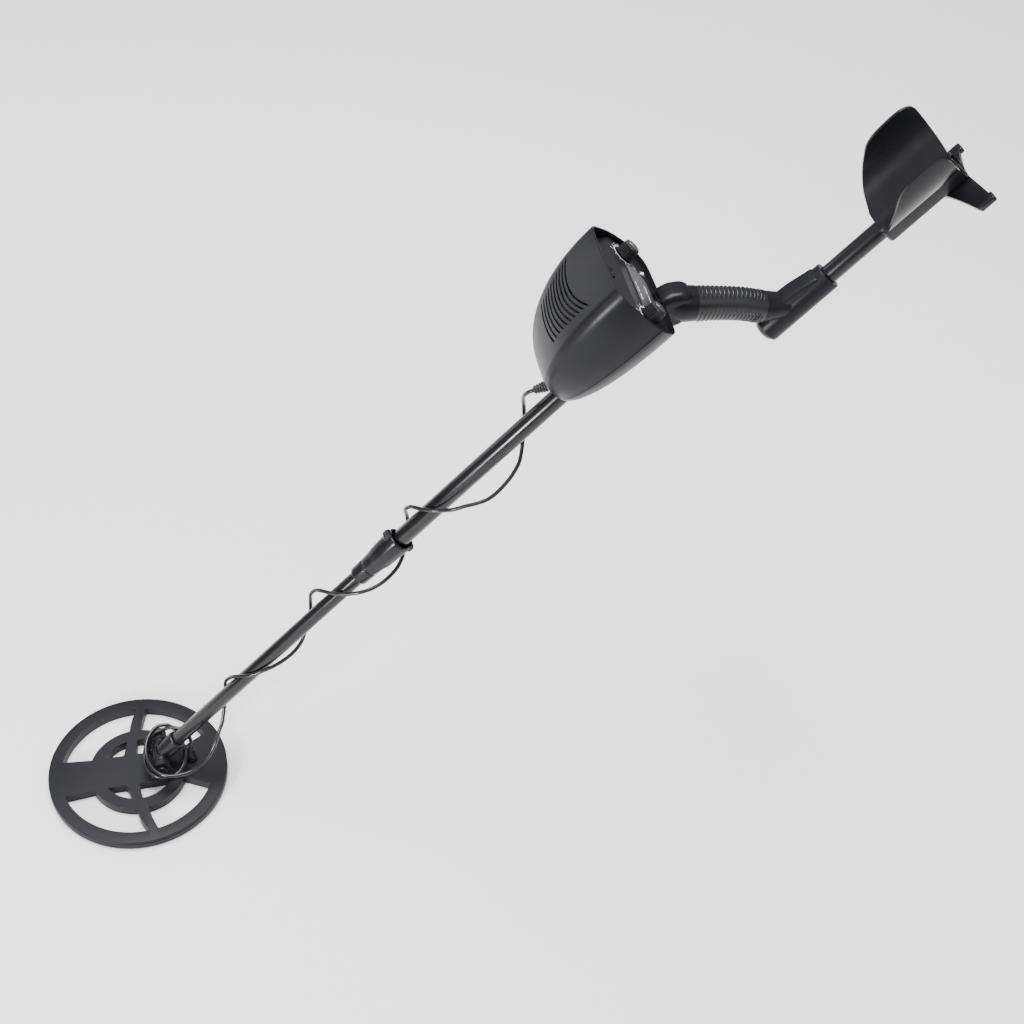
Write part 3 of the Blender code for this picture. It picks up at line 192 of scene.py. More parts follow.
def materials():
    finish("housing_satin", (0.0055, 0.0055, 0.0076), 0.34, grain=1600, bump=0.16, spread=0.14, shine=0.18)
    finish("coil_matte", (0.0066, 0.0066, 0.0088), 0.46, grain=1300, bump=0.25, spread=0.16, shine=0.2)
    finish("moulding_gloss", (0.005, 0.005, 0.0064), 0.27, grain=1200, bump=0.08, shine=0.32)
    finish("tube_coat", (0.004, 0.004, 0.0052), 0.2, grain=2200, bump=0.05, coat=0.16, scratches=0.4,
           shine=0.3)
    finish("rubber_ribbed", (0.0065, 0.0065, 0.008), 0.34, grain=1500, bump=0.16, shine=0.42)
    finish("cable_sheath", (0.004, 0.004, 0.005), 0.28, grain=1800, bump=0.05, coat=0.15, shine=0.4)
    finish("knob_black", (0.006, 0.006, 0.0072), 0.38, grain=1500, bump=0.15, shine=0.34)
    finish("panel_black", (0.0075, 0.0075, 0.0095), 0.46, grain=1700, bump=0.22, shine=0.3)
    finish("label_film", (0.046, 0.043, 0.05), 0.38, grain=2600, bump=0.05, spread=0.05, shine=0.3)
    finish("ink_white", (0.62, 0.62, 0.62), 0.5, grain=2600, bump=0.04, spread=0.04)
    finish("lamp_diffuser", (0.86, 0.86, 0.84), 0.22, grain=900, bump=0.03, spread=0.03, coat=0.5)
    finish("steel_plated", (0.55, 0.55, 0.56), 0.28, metallic=1.0, grain=1500, bump=0.06, scratches=0.5)
    finish("steel_black", (0.03, 0.03, 0.032), 0.36, metallic=0.5, grain=1500, bump=0.08, shine=0.4)
    finish("nylon_natural", (0.66, 0.65, 0.61), 0.46, grain=1200, bump=0.08)
    finish("copper_enamel", (0.6, 0.24, 0.1), 0.32, metallic=0.9, grain=700, bump=0.3)
    finish("board_mask", (0.02, 0.11, 0.05), 0.38, grain=500, bump=0.2)
    finish("cell_wrap", (0.03, 0.05, 0.13), 0.35, grain=900, bump=0.08)
    finish("cone_paper", (0.03, 0.03, 0.032), 0.7, grain=600, bump=0.3)


CAD_FINISH = {
    "copper_enamel": ("transmit_winding", "receive_winding"),
    "rubber_ribbed": ("left_pivot_washer", "right_pivot_washer"),
    "nylon_natural": ("lower_shaft_guide_plug", "collet_ring", "coil_plug_socket"),
    "board_mask": ("circuit_board",),
    "moulding_gloss": ("signal_chip", "arm_tube_plug"),
    "steel_plated": ("audio_capacitor", "left_control_pot", "right_control_pot", "left_control_stem",
                     "right_control_stem", "tray_screw_1", "tray_screw_2"),
    "steel_black": ("handle_screw_1", "handle_screw_2", "cup_bolt", "cup_nut"),
    "cone_paper": ("speaker",),
    "panel_black": ("battery_box",),
    "cell_wrap": ("battery_1", "battery_2"),
    "housing_satin": ("battery_door",),
}


def paint_cad():
    """Finishes for the CAD nodes that are shown as they are."""
    for look, nodes in CAD_FINISH.items():
        for cad_node in nodes:
            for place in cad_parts[cad_node].material_slots:
                place.material = MADE[look]


# --- Mesh making ------------------------------------------------------------------------------

SHARP = 35  # degrees: an edge that bends more than this stays sharp
TINY = 1e-7


def piece(name, verts, faces, look=None, body=None, nodes=(), part_slot=None, angle=SHARP):
    data = bpy.data.meshes.new(name)
    data.from_pydata([tuple(v) for v in verts], [], faces)
    work = bmesh.new()
    work.from_mesh(data)
    bmesh.ops.recalc_face_normals(work, faces=work.faces)
    work.to_mesh(data)
    work.free()
    data.shade_smooth()
    data.set_sharp_from_angle(angle=math.radians(angle))
    obj = bpy.data.objects.new(name, data)
    bpy.context.collection.objects.link(obj)
    if look:
        data.materials.append(MADE[look])
    if body:
        settle(obj, body, nodes)
    return obj


def settle(obj, body, nodes=()):
    """Puts a piece on its body, with the CAD nodes it stands for."""
    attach(obj, body)
    if nodes:
        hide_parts(*nodes)


def bake(obj):
    """Applies an object's modifiers to its mesh."""
    graph = bpy.context.evaluated_depsgraph_get()
    made = bpy.data.meshes.new_from_object(obj.evaluated_get(graph))
    obj.modifiers.clear()
    obj.data = made


def discard(*objs):
    for obj in objs:
        bpy.data.objects.remove(obj, do_unlink=True)


def combine(obj, others, operation):
    """Booleans, applied at once so that nothing is left over."""
    for other in others:
        step = obj.modifiers.new("step", "BOOLEAN")
        step.operation = operation
        step.solver = "EXACT"
        step.object = other
    bake(obj)
    discard(*others)
    obj.data.set_sharp_from_angle(angle=math.radians(SHARP))


def cut(obj, *others):
    combine(obj, others, "DIFFERENCE")


def join(obj, *others):
    combine(obj, others, "UNION")


def soften(obj, width, segments=3):
    step = obj.modifiers.new("soft_edges", "BEVEL")
    step.width = width
    step.segments = segments
    step.limit_method = "ANGLE"
    step.angle_limit = math.radians(SHARP)
    step.harden_normals = True
    step.use_clamp_overlap = True


def skin(solids):
    """Points and faces of closed lofts, each given by its rings."""
    verts, faces = [], []
    for rings in solids:
        count = len(rings[0])
        for i in range(len(rings) - 1):
            a = len(verts) + i * count
            b = a + count
            faces += [(a + j, a + (j + 1) % count, b + (j + 1) % count, b + j) for j in range(count)]
        first, last = len(verts), len(verts) + (len(rings) - 1) * count
        faces.append(tuple(range(first, first + count))[::-1])
        faces.append(tuple(range(last, last + count)))
        verts += [p for ring in rings for p in ring]
    return verts, faces


def loft(name, rings, look=None, body=None, nodes=(), part_slot=None, angle=SHARP):
    return piece(name, *skin([rings]), look, body, nodes, part_slot, angle)


def prisms(name, outlines, low, high, place, look=None, body=None, nodes=(), part_slot=None):
    """Outlines extruded between two distances, in one piece; place turns (a, b, c) into a point."""
    solids = [[[place(a, b, c) for a, b in outline] for c in (low, high)] for outline in outlines]
    return piece(name, *skin(solids), look, body, nodes, part_slot)


def turned(name, profile, base, direction, look=None, body=None, nodes=(), part_slot=None, sides=80, angle=30,
           ripple=None):
    """A closed solid of revolution; the profile is a closed outline of (distance along, radius)."""
    along = Vector(direction).normalized()
    side = Vector((0, 1, 0)) if abs(along.y) < 0.9 else Vector((1, 0, 0))
    side = (side - along * side.dot(along)).normalized()
    other = along.cross(side)
    start = Vector(base)
    verts, rows = [], []
    for distance, radius in profile:
        if radius < TINY:
            rows.append([len(verts)])
            verts.append(start + along * distance)
            continue
        rows.append(list(range(len(verts), len(verts) + sides)))
        for k in range(sides):
            t = math.tau * (k + 0.37) / sides
            r = radius + (ripple(distance, radius, t) if ripple else 0.0)
            verts.append(start + along * distance + (side * math.cos(t) + other * math.sin(t)) * r)
    faces = []
    for a, b in zip(rows, rows[1:] + rows[:1]):
        if len(a) == 1 and len(b) == 1:
            continue
        for k in range(sides):
            j = (k + 1) % sides
            if len(a) == 1:
                faces.append((a[0], b[j], b[k]))
            elif len(b) == 1:
                faces.append((a[k], a[j], b[0]))
            else:
                faces.append((a[k], a[j], b[j], b[k]))
    return piece(name, verts, faces, look, body, nodes, part_slot, angle)


def rod(base, direction, length, radius, sides=80):
    """A plain round cutter."""
    return turned("rod", [(0, 0), (0, radius), (length, radius), (length, 0)], base, direction, sides=sides)


def round_corners(outline, radius, steps=5, reach=0.48, straight=-0.93, kept=lambda p: False):
    """A closed flat outline with its corners rounded; smooth runs stay as they are."""
    made = []
    for k, point in enumerate(outline):
        p = np.array(point, float)
        a, b = np.array(outline[k - 1], float), np.array(outline[(k + 1) % len(outline)], float)
        la, lb = np.linalg.norm(a - p), np.linalg.norm(b - p)
        if kept(p) or min(la, lb) < TINY or float(np.dot((a - p) / la, (b - p) / lb)) < straight:
            made.append(tuple(p))
            continue
        r = min(radius, reach * la, reach * lb)
        start, end = p + (a - p) / la * r, p + (b - p) / lb * r
        for s in range(steps + 1):
            t = s / steps
            made.append(tuple((1 - t) ** 2 * start + 2 * t * (1 - t) * p + t * t * end))
    return made


def rounded(profile, radius, steps=3):
    """A turned profile with each of its corners off the axis rounded."""
    return round_corners(profile, radius, steps, 0.45, -0.985, lambda p: p[1] < TINY)


def shrunk(outline, distance):
    """A closed flat outline moved in by a distance all round."""
    count = len(outline)
    area = sum(outline[k - 1][0] * outline[k][1] - outline[k][0] * outline[k - 1][1] for k in range(count))
    hand = 1 if area > 0 else -1
    made = []
    for k in range(count):
        ends = [np.array(p, float) for p in (outline[k - 1], outline[k], outline[(k + 1) % count])]
        first, second = ends[1] - ends[0], ends[2] - ends[1]
        first, second = first / np.linalg.norm(first), second / np.linalg.norm(second)
        mean = np.array([-(first + second)[1], (first + second)[0]]) * hand
        mean = mean / np.linalg.norm(mean)
        square = np.array([-first[1], first[0]]) * hand
        made.append(tuple(ends[1] + mean * distance / float(np.dot(mean, square))))
    return made


def pillow(name, outline, radius, half, ease, steps=5):
    """A form with a given side view, half as wide each way from the middle, its rims rounded over."""
    rings = []
    for end, turn in ((-half, 1), (half, -1)):
        rows = []
        for k in range(steps + 1):
            t = math.pi / 2 * k / steps
            inset_by, depth = ease * (1 - math.sin(t)), ease * (1 - math.cos(t))
            points = round_corners(shrunk(outline, inset_by), max(0.0004, radius - inset_by))
            rows.append([S(a, end + turn * depth, b) for a, b in points])
        rings += rows if turn > 0 else rows[::-1]
    return loft(name, rings)


def arc(centre, radius, start, end, count):
    turns = [math.radians(start + (end - start) * k / (count - 1)) for k in range(count)]
    return [(centre[0] + radius * math.cos(t), centre[1] + radius * math.sin(t)) for t in turns]


def smooth_rows(rows, steps):
    """Closely spaced rows on a smooth curve through the given ones."""
    rows = np.array([tuple(row) for row in rows], dtype=float)
    padded = np.vstack([2 * rows[0] - rows[1], rows, 2 * rows[-1] - rows[-2]])
    fine = []
    for k in range(1, len(padded) - 2):
        p0, p1, p2, p3 = padded[k - 1:k + 3]
        for step in range(steps):
            t = step / steps
            fine.append(0.5 * (2 * p1 + (p2 - p0) * t + (2 * p0 - 5 * p1 + 4 * p2 - p3) * t * t
                               + (3 * p1 - p0 - 3 * p2 + p3) * t**3))
    fine.append(rows[-1])
    return [tuple(row) for row in fine]


add_camera()
add_floor()
add_light()
materials()
paint_cad()


# --- Cable ------------------------------------------------------------------------------------

CABLE_RADIUS = 0.0022
ZERO_Y, ZERO_V = -0.795, 0.607  # the direction across the shaft from which the cable's turns count
RELIEF_FOOT = Vector((0.689, -0.0025, 0.019))
RELIEF_LEAN = Vector((-0.9, 0.12, 0.42)).normalized()
RELIEF_LENGTH = 0.023
GAP = 0.0003
POINT_SPACING = 0.0025
# The cable's turns round the shaft, from the housing down: (u, turn in degrees, distance off the axis)
CABLE_UPPER = [
    (0.6619, 57.4, 0.0298), (0.6559, 66.2, 0.0278), (0.6503, 79.7, 0.0246), (0.6446, 98.0, 0.0216),
    (0.6388, 118.4, 0.0195), (0.6325, 138, 0.0175), (0.62, 180, 0.0165), (0.606, 222, 0.0185),
    (0.59, 253, 0.026), (0.566, 278, 0.0313), (0.544, 292, 0.0324), (0.522, 312, 0.026), (0.509, 324, 0.0225),
    (0.495, 345, 0.0165), (0.48, 396, 0.0155), (0.47, 432, 0.0187), (0.461, 450, 0.0202),
    (0.455, 469, 0.0192), (0.4467, 503, 0.019), (0.434, 539, 0.0192), (0.425, 556, 0.0198),
    (0.415, 582, 0.0208), (0.4, 612, 0.0227), (0.384, 631, 0.023), (0.368, 654, 0.0216),
    (0.355, 675, 0.019),
]
CABLE_MIDDLE = [
    (0.355, 675, 0.019), (0.342, 698, 0.0146), (0.331, 737, 0.0132), (0.3216, 773, 0.0168),
    (0.311, 802, 0.0205), (0.302, 812, 0.0213), (0.294, 829, 0.0193), (0.2795, 869, 0.016),
    (0.263, 907, 0.013), (0.246, 946, 0.0158), (0.229, 974, 0.0157), (0.2116, 1001, 0.0136),
    (0.194, 1036, 0.0117), (0.176, 1076, 0.0114), (0.1635, 1113, 0.0114), (0.151, 1151, 0.0122),
    (0.141, 1173, 0.0128), (0.132, 1201, 0.0124), (0.1156, 1265, 0.0122),
]
CABLE_LEAVING = [(0.103, 1310, 0.0147), (0.091, 1335, 0.0217), (0.082, 1345, 0.026)]
# The cable's two loose turns about the pivot, from the middle of the coil's top face
CABLE_LOOPS = [
    (0.092, -0.022, 0.052), (0.081, -0.03, 0.039), (0.066, -0.036, 0.03), (0.049, -0.0385, 0.0273),
    (0.033, -0.0368, 0.0272), (0.02, -0.027, 0.0276), (0.0125, -0.007, 0.029), (0.0135, 0.01, 0.032),
    (0.02, 0.022, 0.036), (0.028, 0.0282, 0.0382), (0.037, 0.0294, 0.038), (0.043, 0.0284, 0.0363),
    (0.0475, 0.025, 0.033), (0.052, 0.0175, 0.0295), (0.056, 0.006, 0.026), (0.0565, -0.007, 0.0235),
    (0.053, -0.021, 0.022), (0.045, -0.0315, 0.021), (0.034, -0.0333, 0.0205), (0.023, -0.0318, 0.0205),
    (0.0135, -0.024, 0.0208), (0.009, -0.009, 0.0213), (0.0108, 0.006, 0.0236), (0.0165, 0.0165, 0.0285),
    (0.0245, 0.0223, 0.0338), (0.034, 0.0242, 0.0356), (0.042, 0.0243, 0.038), (0.05, 0.022, 0.0388),
    (0.058, 0.0175, 0.037), (0.0635, 0.012, 0.033), (0.0653, 0.0075, 0.028), (0.0648, 0.005, 0.023),
    (0.0642, 0.0038, 0.02),
]


def wrapped(rows):
    """Points of the shaft frame for rows of the cable's turns."""
    points = []
    for u, turn, distance in rows:
        c, s = distance * math.cos(math.radians(turn)), distance * math.sin(math.radians(turn))
        points.append(Vector((u, ZERO_Y * c + ZERO_V * s, ZERO_V * c - ZERO_Y * s)))
    return points


def to_shaft(point):
    """A row-frame point in the shaft frame."""
    return Vector((point.x * COS + point.z * SIN + GRIP_U, point.y, -point.x * SIN + point.z * COS + GRIP_V))


def cable_route():
    """The whole cable from the housing down, the distance along it, and where its three stretches end."""
    tip = RELIEF_FOOT + RELIEF_LEAN * RELIEF_LENGTH
    start = [tip, tip + RELIEF_LEAN * 0.003]
    upper = wrapped(smooth_rows(CABLE_UPPER, 12))
    middle = wrapped(smooth_rows(CABLE_MIDDLE, 12))
    tail = wrapped(CABLE_LEAVING) + [to_shaft(K(*p)) for p in CABLE_LOOPS]
    line = np.array(smooth_rows(start + upper[::6] + middle[6::6] + tail, 12))
    along = np.concatenate([[0], np.cumsum(np.linalg.norm(np.diff(line, axis=0), axis=1))])
    parts = [0.0]
    for joint in (upper[-1], middle[-1]):
        nearest = np.argmin(np.linalg.norm(line - np.array(tuple(joint)), axis=1))
        parts.append(float(along[nearest]))
    return line, along, [*parts, float(along[-1])]


def tube(name, points, radius, look):
    """A closed tube round a line of points, kept from twisting."""
    sides = 20
    rings = []
    side = None
    for k, point in enumerate(points):
        ahead = (points[min(k + 1, len(points) - 1)] - points[max(k - 1, 0)]).normalized()
        if side is None:
            side = ahead.orthogonal().normalized()
        side = (side - ahead * side.dot(ahead)).normalized()
        other = ahead.cross(side)
        turns = [math.tau * j / sides for j in range(sides)]
        rings.append([point + (side * math.cos(t) + other * math.sin(t)) * radius for t in turns])
    return loft(name, rings, look, angle=60)


def cables():
    line, along, ends = cable_route()

    def at(distance):
        return S(*[float(np.interp(distance, along, line[:, c])) for c in range(3)])

    runs = (("search_cable_upper", "cable_upper", ends[0], ends[1], None),
            ("search_cable_middle", "cable_middle", ends[1], ends[2], ("upper_frame", "lower_stem")),
            ("search_cable_tail", "cable_tail", ends[2], ends[3], ("lower_stem", "search_head")))
    for name, stretch, start, end, pair in runs:
        count = round((end - start) / POINT_SPACING)
        points = [at(d) for d in np.linspace(start + GAP / 2, end - GAP / 2, count)]
        cable = tube(name, points, CABLE_RADIUS, "cable_sheath")
        if pair:
            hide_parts(stretch)
            if stretch == "cable_middle":
                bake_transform(cable)
            else:
                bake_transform(cable)
        else:
            settle(cable, "upper_frame", (stretch,))


cables()


# --- Search coil ------------------------------------------------------------------------------

COIL_RADIUS, RIM_INSIDE, RING_OUTSIDE, RING_INSIDE = 0.105, 0.09, 0.057, 0.043
EAR_INSIDE, EAR_OUTSIDE = 0.017, 0.022
OUTER_WINDOWS = [
    ((-0.0865, 0.0247), (0.0056, 0.0898), (-0.002, 0.073), (-0.0059, 0.0567), (-0.0526, 0.0218)),
    ((0.0818, 0.0375), (0.0161, 0.0885), (0.0112, 0.073), (0.0072, 0.0565), (0.0528, 0.0215)),
]
INNER_WINDOWS = [
    ((-0.037, 0.0219), (-0.0098, 0.0419), (-0.0152, 0.0217)),
    ((0.0372, 0.0216), (0.0024, 0.0429), (-0.0005, 0.0216)),
]


def along_ring(radius, start, end, count):
    first, last = (math.degrees(math.atan2(y, x)) for x, y in (start, end))
    return arc((0, 0), radius, first, last, count)


def windows():
    """The coil's eight gaps, drawn on the right and mirrored."""
    outlines = []
    for bar_far, spoke_far, spoke_middle, spoke_near, bar_near in OUTER_WINDOWS:
        spoke = smooth_rows([spoke_far, spoke_middle, spoke_near], 5)[1:-1]
        outline = along_ring(RIM_INSIDE, bar_far, spoke_far, 36) + spoke
        outlines.append(outline + along_ring(RING_OUTSIDE, spoke_near, bar_near, 24))
    for bar_far, spoke_far, corner in INNER_WINDOWS:
        outlines.append(along_ring(RING_INSIDE, bar_far, spoke_far, 20) + [corner])
    outlines = [round_corners(outline, 0.003) for outline in outlines]
    return outlines + [[(x, -y) for x, y in reversed(outline)] for outline in outlines]


def coil_disc(name, low, thick, gaps_low, gaps_high):
    made = turned(name, rounded([(0, 0), (0, COIL_RADIUS), (thick, COIL_RADIUS), (thick, 0)], 0.0016),
                  K(0, 0, low), (0, 0, 1), "coil_matte", sides=192)
    cut(made, prisms("gaps", windows(), gaps_low, gaps_high, K))
    return made


def search_coil():
    base = coil_disc("coil_base", -0.0125, 0.00935, -0.016, 0.002)
    soften(base, 0.0009)
    settle(base, "search_head", ("coil_bottom_shell",))
    lid = coil_disc("coil_lid", -0.00285, 0.00285, -0.006, 0.003)
    ears = []
    for side in (-1, 1):
        low, high = sorted((side * EAR_INSIDE, side * EAR_OUTSIDE))
        outline = [(0.01, -0.0016)] + arc((PIVOT_X, PIVOT_Z), 0.01, 160, -20, 33) + [(0.05, -0.0016)]
        ears.append(prisms(f"ear_{side}", [outline[::-1]], low, high, lambda a, b, c: K(a, c, b)))
    corners = [(0.0085, -0.0228), (0.0515, -0.0228), (0.0515, 0.0228), (0.0085, 0.0228)]
    foot = prisms("ear_foot", [round_corners(corners, 0.004)], -0.0012, 0.003, K)
    join(lid, *ears, foot)
    pivot_way = rod(K(PIVOT_X, -0.04, PIVOT_Z), ACROSS, 0.08, 0.0034)
    cable_way = rod(K(0.0642, 0.002, -0.01), (0, 0, 1), 0.02, 0.0046, 40)
    cut(lid, pivot_way, cable_way)
    soften(lid, 0.0007)
    settle(lid, "search_head", ("coil_top_shell",))


def gland():
    foot, tip = K(0.0642, 0.002, -0.002), K(0.0642, 0.0038, 0.0195)
    length = (tip - foot).length
    profile = [(0, 0), (0, 0.004), (0.0032, 0.004), (0.0032, 0.0062), (0.0056, 0.006)]
    for k in range(5):
        start = 0.0056 + k * (length - 0.0066) / 5
        radius = 0.0056 - 0.0002 * k
        profile += [(start + 0.0002, radius - 0.001), (start + 0.001, radius - 0.001),
                    (start + 0.0012, radius), (start + 0.0026, radius)]
    profile += [(length, 0.004), (length, 0)]
    turned("coil_cable_boot", rounded(profile, 0.0003), foot, tip - foot, "rubber_ribbed", "search_head",
           ("coil_cable_gland",), "black_rubber", sides=48)


def pivot():
    profile = [(0, 0), (0, 0.0052), (0.0008, 0.006), (0.004, 0.006), (0.004, 0.003), (0.056, 0.003),
               (0.056, 0)]
    bolt = turned("tilt_bolt", rounded(profile, 0.0005), K(PIVOT_X, -0.0263, PIVOT_Z), ACROSS, "moulding_gloss",
                  sides=64)
    slot = [(-0.0045, -0.0006), (0.0045, -0.0006), (0.0045, 0.0006), (-0.0045, 0.0006)]
    cut(bolt, prisms("bolt_slot", [slot], -0.03, -0.0252, lambda a, b, c: K(PIVOT_X + a, c, PIVOT_Z + b)))
    settle(bolt, "search_head", ("pivot_bolt",))
    profile = [(0, 0.0034), (0, 0.008), (0.0008, 0.0088), (0.0082, 0.009), (0.0104, 0.0082), (0.0118, 0.0066),
               (0.0125, 0.004), (0.0126, 0), (0.008, 0), (0.0078, 0.0034)]
    turned("tilt_knob", rounded(profile, 0.0006), K(PIVOT_X, 0.0225, PIVOT_Z), ACROSS, "moulding_gloss",
           "pivot_nut", ("pivot_knob",), "gloss_plastic", sides=128,
           ripple=lambda d, r, t: 0.00035 * math.cos(12 * t) if r > 0.0075 else 0.0)


# --- Shaft ------------------------------------------------------------------------------------


def end_fitting():
    tongue = turned("stem_tongue", rounded([(0, 0), (0, 0.01), (0.028, 0.01), (0.028, 0)], 0.0008),
                    S(0, -0.014, 0), ACROSS, "moulding_gloss", sides=72)
    profile = [(0, 0), (0, 0.0104), (0.004, 0.0112), (0.028, 0.0112), (0.0295, 0.01), (0.0295, 0)]
    join(tongue, turned("stem_socket", rounded(profile, 0.0006), S(0.004, 0, 0), UP_SHAFT, sides=72))
    stem_way = rod(S(0.0157, 0, 0), UP_SHAFT, 0.03, 0.0087)
    cut(tongue, stem_way, rod(S(0, -0.02, 0), ACROSS, 0.04, 0.0033, 40))
    settle(tongue, "lower_stem", ("shaft_end_fitting",))


def pipe(name, start, end, outer, inner, v, body, cad_node):
    profile = rounded([(0, inner), (0, outer), (end - start, outer), (end - start, inner)], 0.0004, 2)
    turned(name, profile, S(start, 0, v), UP_SHAFT, "tube_coat", body, (cad_node,), "painted_tube", sides=96)


def shafts():
    pipe("stem_tube", 0.016, 0.5, 0.0084, 0.0072, 0, "lower_stem", "lower_shaft")
    pipe("main_tube", 0.38, 0.828, 0.01, 0.0088, 0, "upper_frame", "upper_shaft")
    pipe("rear_tube", 0.874, 1.112, 0.01, 0.0088, ARM_V, "upper_frame", "arm_tube")


def collar():
    bore, wide, length, facets_from = 0.0087, 0.0105, 0.07, 0.0205
    profile = [(0, bore), (0, 0.0105), (0.0015, 0.0113), (0.0168, 0.0117), (0.0175, 0.0113), (0.0184, 0.011),
               (0.0193, 0.0113), (0.0202, 0.0119), (0.029, 0.0126), (0.034, 0.0134), (0.039, 0.0143),
               (0.05, 0.0149), (0.0655, 0.0154), (0.069, 0.015), (length, 0.0138), (length, 0.0128),
               (0.06, wide), (0.014, wide), (0.014, bore)]

    def facet(distance, radius, t):
        if radius < 0.011 or distance < facets_from:
            return 0.0
        return -0.00022 * (1 - math.cos(10 * t)) / 2 * min(1.0, (distance - facets_from) / 0.015)

    body = turned("twist_lock", rounded(profile, 0.0006), S(0.36, 0, 0), UP_SHAFT, "moulding_gloss", sides=120,
                  ripple=facet)
    lugs = []
    for side in (-1, 1):
        outline = [(0.421, side * 0.0132), (0.421, side * 0.0165), (0.4235, side * 0.02),
                   (0.4295, side * 0.02), (0.432, side * 0.018), (0.432, side * 0.0132)]
        lugs.append(pillow(f"lug_{side}", outline, 0.002, 0.0048, 0.0011))
    join(body, *lugs)
    settle(body, "twist_collar", ("lock_collar",))


search_coil()
gland()
pivot()
end_fitting()
shafts()
collar()


# --- Control housing --------------------------------------------------------------------------

NOSE, RIM, FLOOR, WALL, POWER = 0.681, 0.83, 0.006, 0.0024, 2.2
PANEL_U = 0.825
PANEL_BEND_V, PANEL_LEAN = 0.058, 0.55
KNOB_Y, KNOB_V = 0.0485, 0.04
JACK_Y, JACK_V = 0.004, 0.071
LAMP_Y, LAMP_V = 0.034, 0.0175
SEAM_V = 0.0359
ABOVE_SEAM = [
    (0.0715, 0.036), (0.0705, 0.05), (0.0675, 0.063), (0.0624, 0.0755),
    (0.0565, 0.0865), (0.0495, 0.0925), (0.025, 0.0941), (0.0, 0.0945),
]
BELOW_SEAM = [
    (0.0715, 0.0357), (0.07, 0.0295), (0.066, 0.0205), (0.0605, 0.0125),
    (0.053, 0.0078), (0.044, 0.0062), (0.022, FLOOR), (0.0, FLOOR),
]


def fine_half(half):
    """A half section drawn smooth, with a spare point close to its seam edge."""
    fine = smooth_rows(half[:6], 6)[:-1] + smooth_rows(half[5:], 5)
    (y0, v0), (y1, v1) = fine[0], fine[1]
    share = 0.0008 / max(1e-9, math.hypot(y1 - y0, v1 - v0))
    fine.insert(1, (y0 + (y1 - y0) * share, v0 + (v1 - v0) * share))
    return fine


def eased(fine):
    """The same section with its seam edge turned in, so that the seam reads as a fine groove."""
    return [(fine[0][0] - 0.0006, fine[0][1])] + fine[1:]


def inset(half, wall):
    """A half section moved in by a wall's thickness."""
    points = []
    for k, (y, v) in enumerate(half):
        if k == 0:
            points.append((y - wall, v))
            continue
        if k == len(half) - 1:
            points.append((0.0, v + math.copysign(wall, FLOOR + 0.03 - v)))
            continue
        (y0, v0), (y1, v1) = half[k - 1], half[k + 1]
        length = max(1e-9, math.hypot(y1 - y0, v1 - v0))
        turn = 1 if v > SEAM_V else -1
        points.append((y - wall * turn * (v1 - v0) / length, v + wall * turn * (y1 - y0) / length))
    return points


def section(half, t, wall):
    """The whole section at a share of the way from the rim to the nose."""
    u = RIM - (RIM - NOSE - wall) * t
    scale = (1 - t**POWER) ** (1 / POWER)
    floor = FLOOR + wall
    right = [(u, y * scale, floor + (v - floor) * scale) for y, v in half]
    left = [(a, -b, c) for a, b, c in reversed(right[:-1])]
    return right + left


def shell(name, half):
    """A closed shell with a wall, for the half section above or below the seam."""
    half = fine_half(half)
    stations = [math.sin(math.radians(90) * k / 40) for k in range(39)] + [0.9986, 0.9995, 0.99985]
    lip = [(0.0009, 0.0), (0.0004, 0.00025), (0.0001, 0.0006)]
    outer = []
    for inward, back in lip:
        row = section(eased(inset(half, inward)), 0.0, 0.0)
        outer.append([(u - back, y, v) for u, y, v in row])
    outer += [section(eased(half), t, 0.0) for t in stations[1:]]
    inner = [section(inset(half, WALL), t, WALL) for t in [0.0] * 3 + stations[1:]]
    inner[1] = [(u - 0.0003, y, v) for u, y, v in inner[1]]
    inner[2] = [(u - 0.0006, y, v) for u, y, v in inner[2]]
    rows, count = len(outer), len(outer[0])
    verts = [S(*p) for row in outer + inner for p in row]
    faces = []
    for first in (0, rows):
        for i in range(rows - 1):
            a, b = (first + i) * count, (first + i + 1) * count
            for j in range(count - 1):
                faces.append((a + j, a + j + 1, b + j + 1, b + j))
        last = (first + rows - 1) * count
        faces.append(tuple(range(last, last + count)))
    for j in range(count - 1):
        faces.append((j, j + 1, rows * count + j + 1, rows * count + j))
    for i in range(rows - 1):
        for j in (0, count - 1):
            a, b = i * count + j, (i + 1) * count + j
            faces.append((a, b, rows * count + b, rows * count + a))
    a, b = (rows - 1) * count, rows * count - 1
    faces.append((a, b, rows * count + b, rows * count + a))
    return piece(name, verts, faces, "housing_satin", angle=40)


def vents():
    """The ten long sound slots through the hood, each a shallow arc with round ends."""
    solids = []
    for index in range(10):
        far = (0.7906 - 0.00566 * index, 0.0441 - 0.00133 * index)
        near = (0.7952 - 0.00631 * index, -0.0365 + 0.00117 * index)
        bulge = 0.0117 - 0.00083 * index
        rings = []
        for share in np.arange(29) / 28:
            u = far[0] + (near[0] - far[0]) * share - bulge * 4 * share * (1 - share)
            y = far[1] + (near[1] - far[1]) * share
            half = 0.0011 * min(1.0, math.sqrt(max(0.04, min(share, 1 - share) * 40)))
            rings.append([S(u - half, y, 0.055), S(u + half, y, 0.055), S(u + half, y, 0.105), S(u - half, y, 0.105)])
        solids.append(rings)
    return piece("vents", *skin(solids))


def shaft_rod(start, length, radius):
    return rod(S(start, 0, 0), UP_SHAFT, length, radius, 64)


def relief_way():
    return rod(S(*(RELIEF_FOOT - 0.012 * RELIEF_LEAN)), D(*RELIEF_LEAN), 0.04, 0.0043, 40)


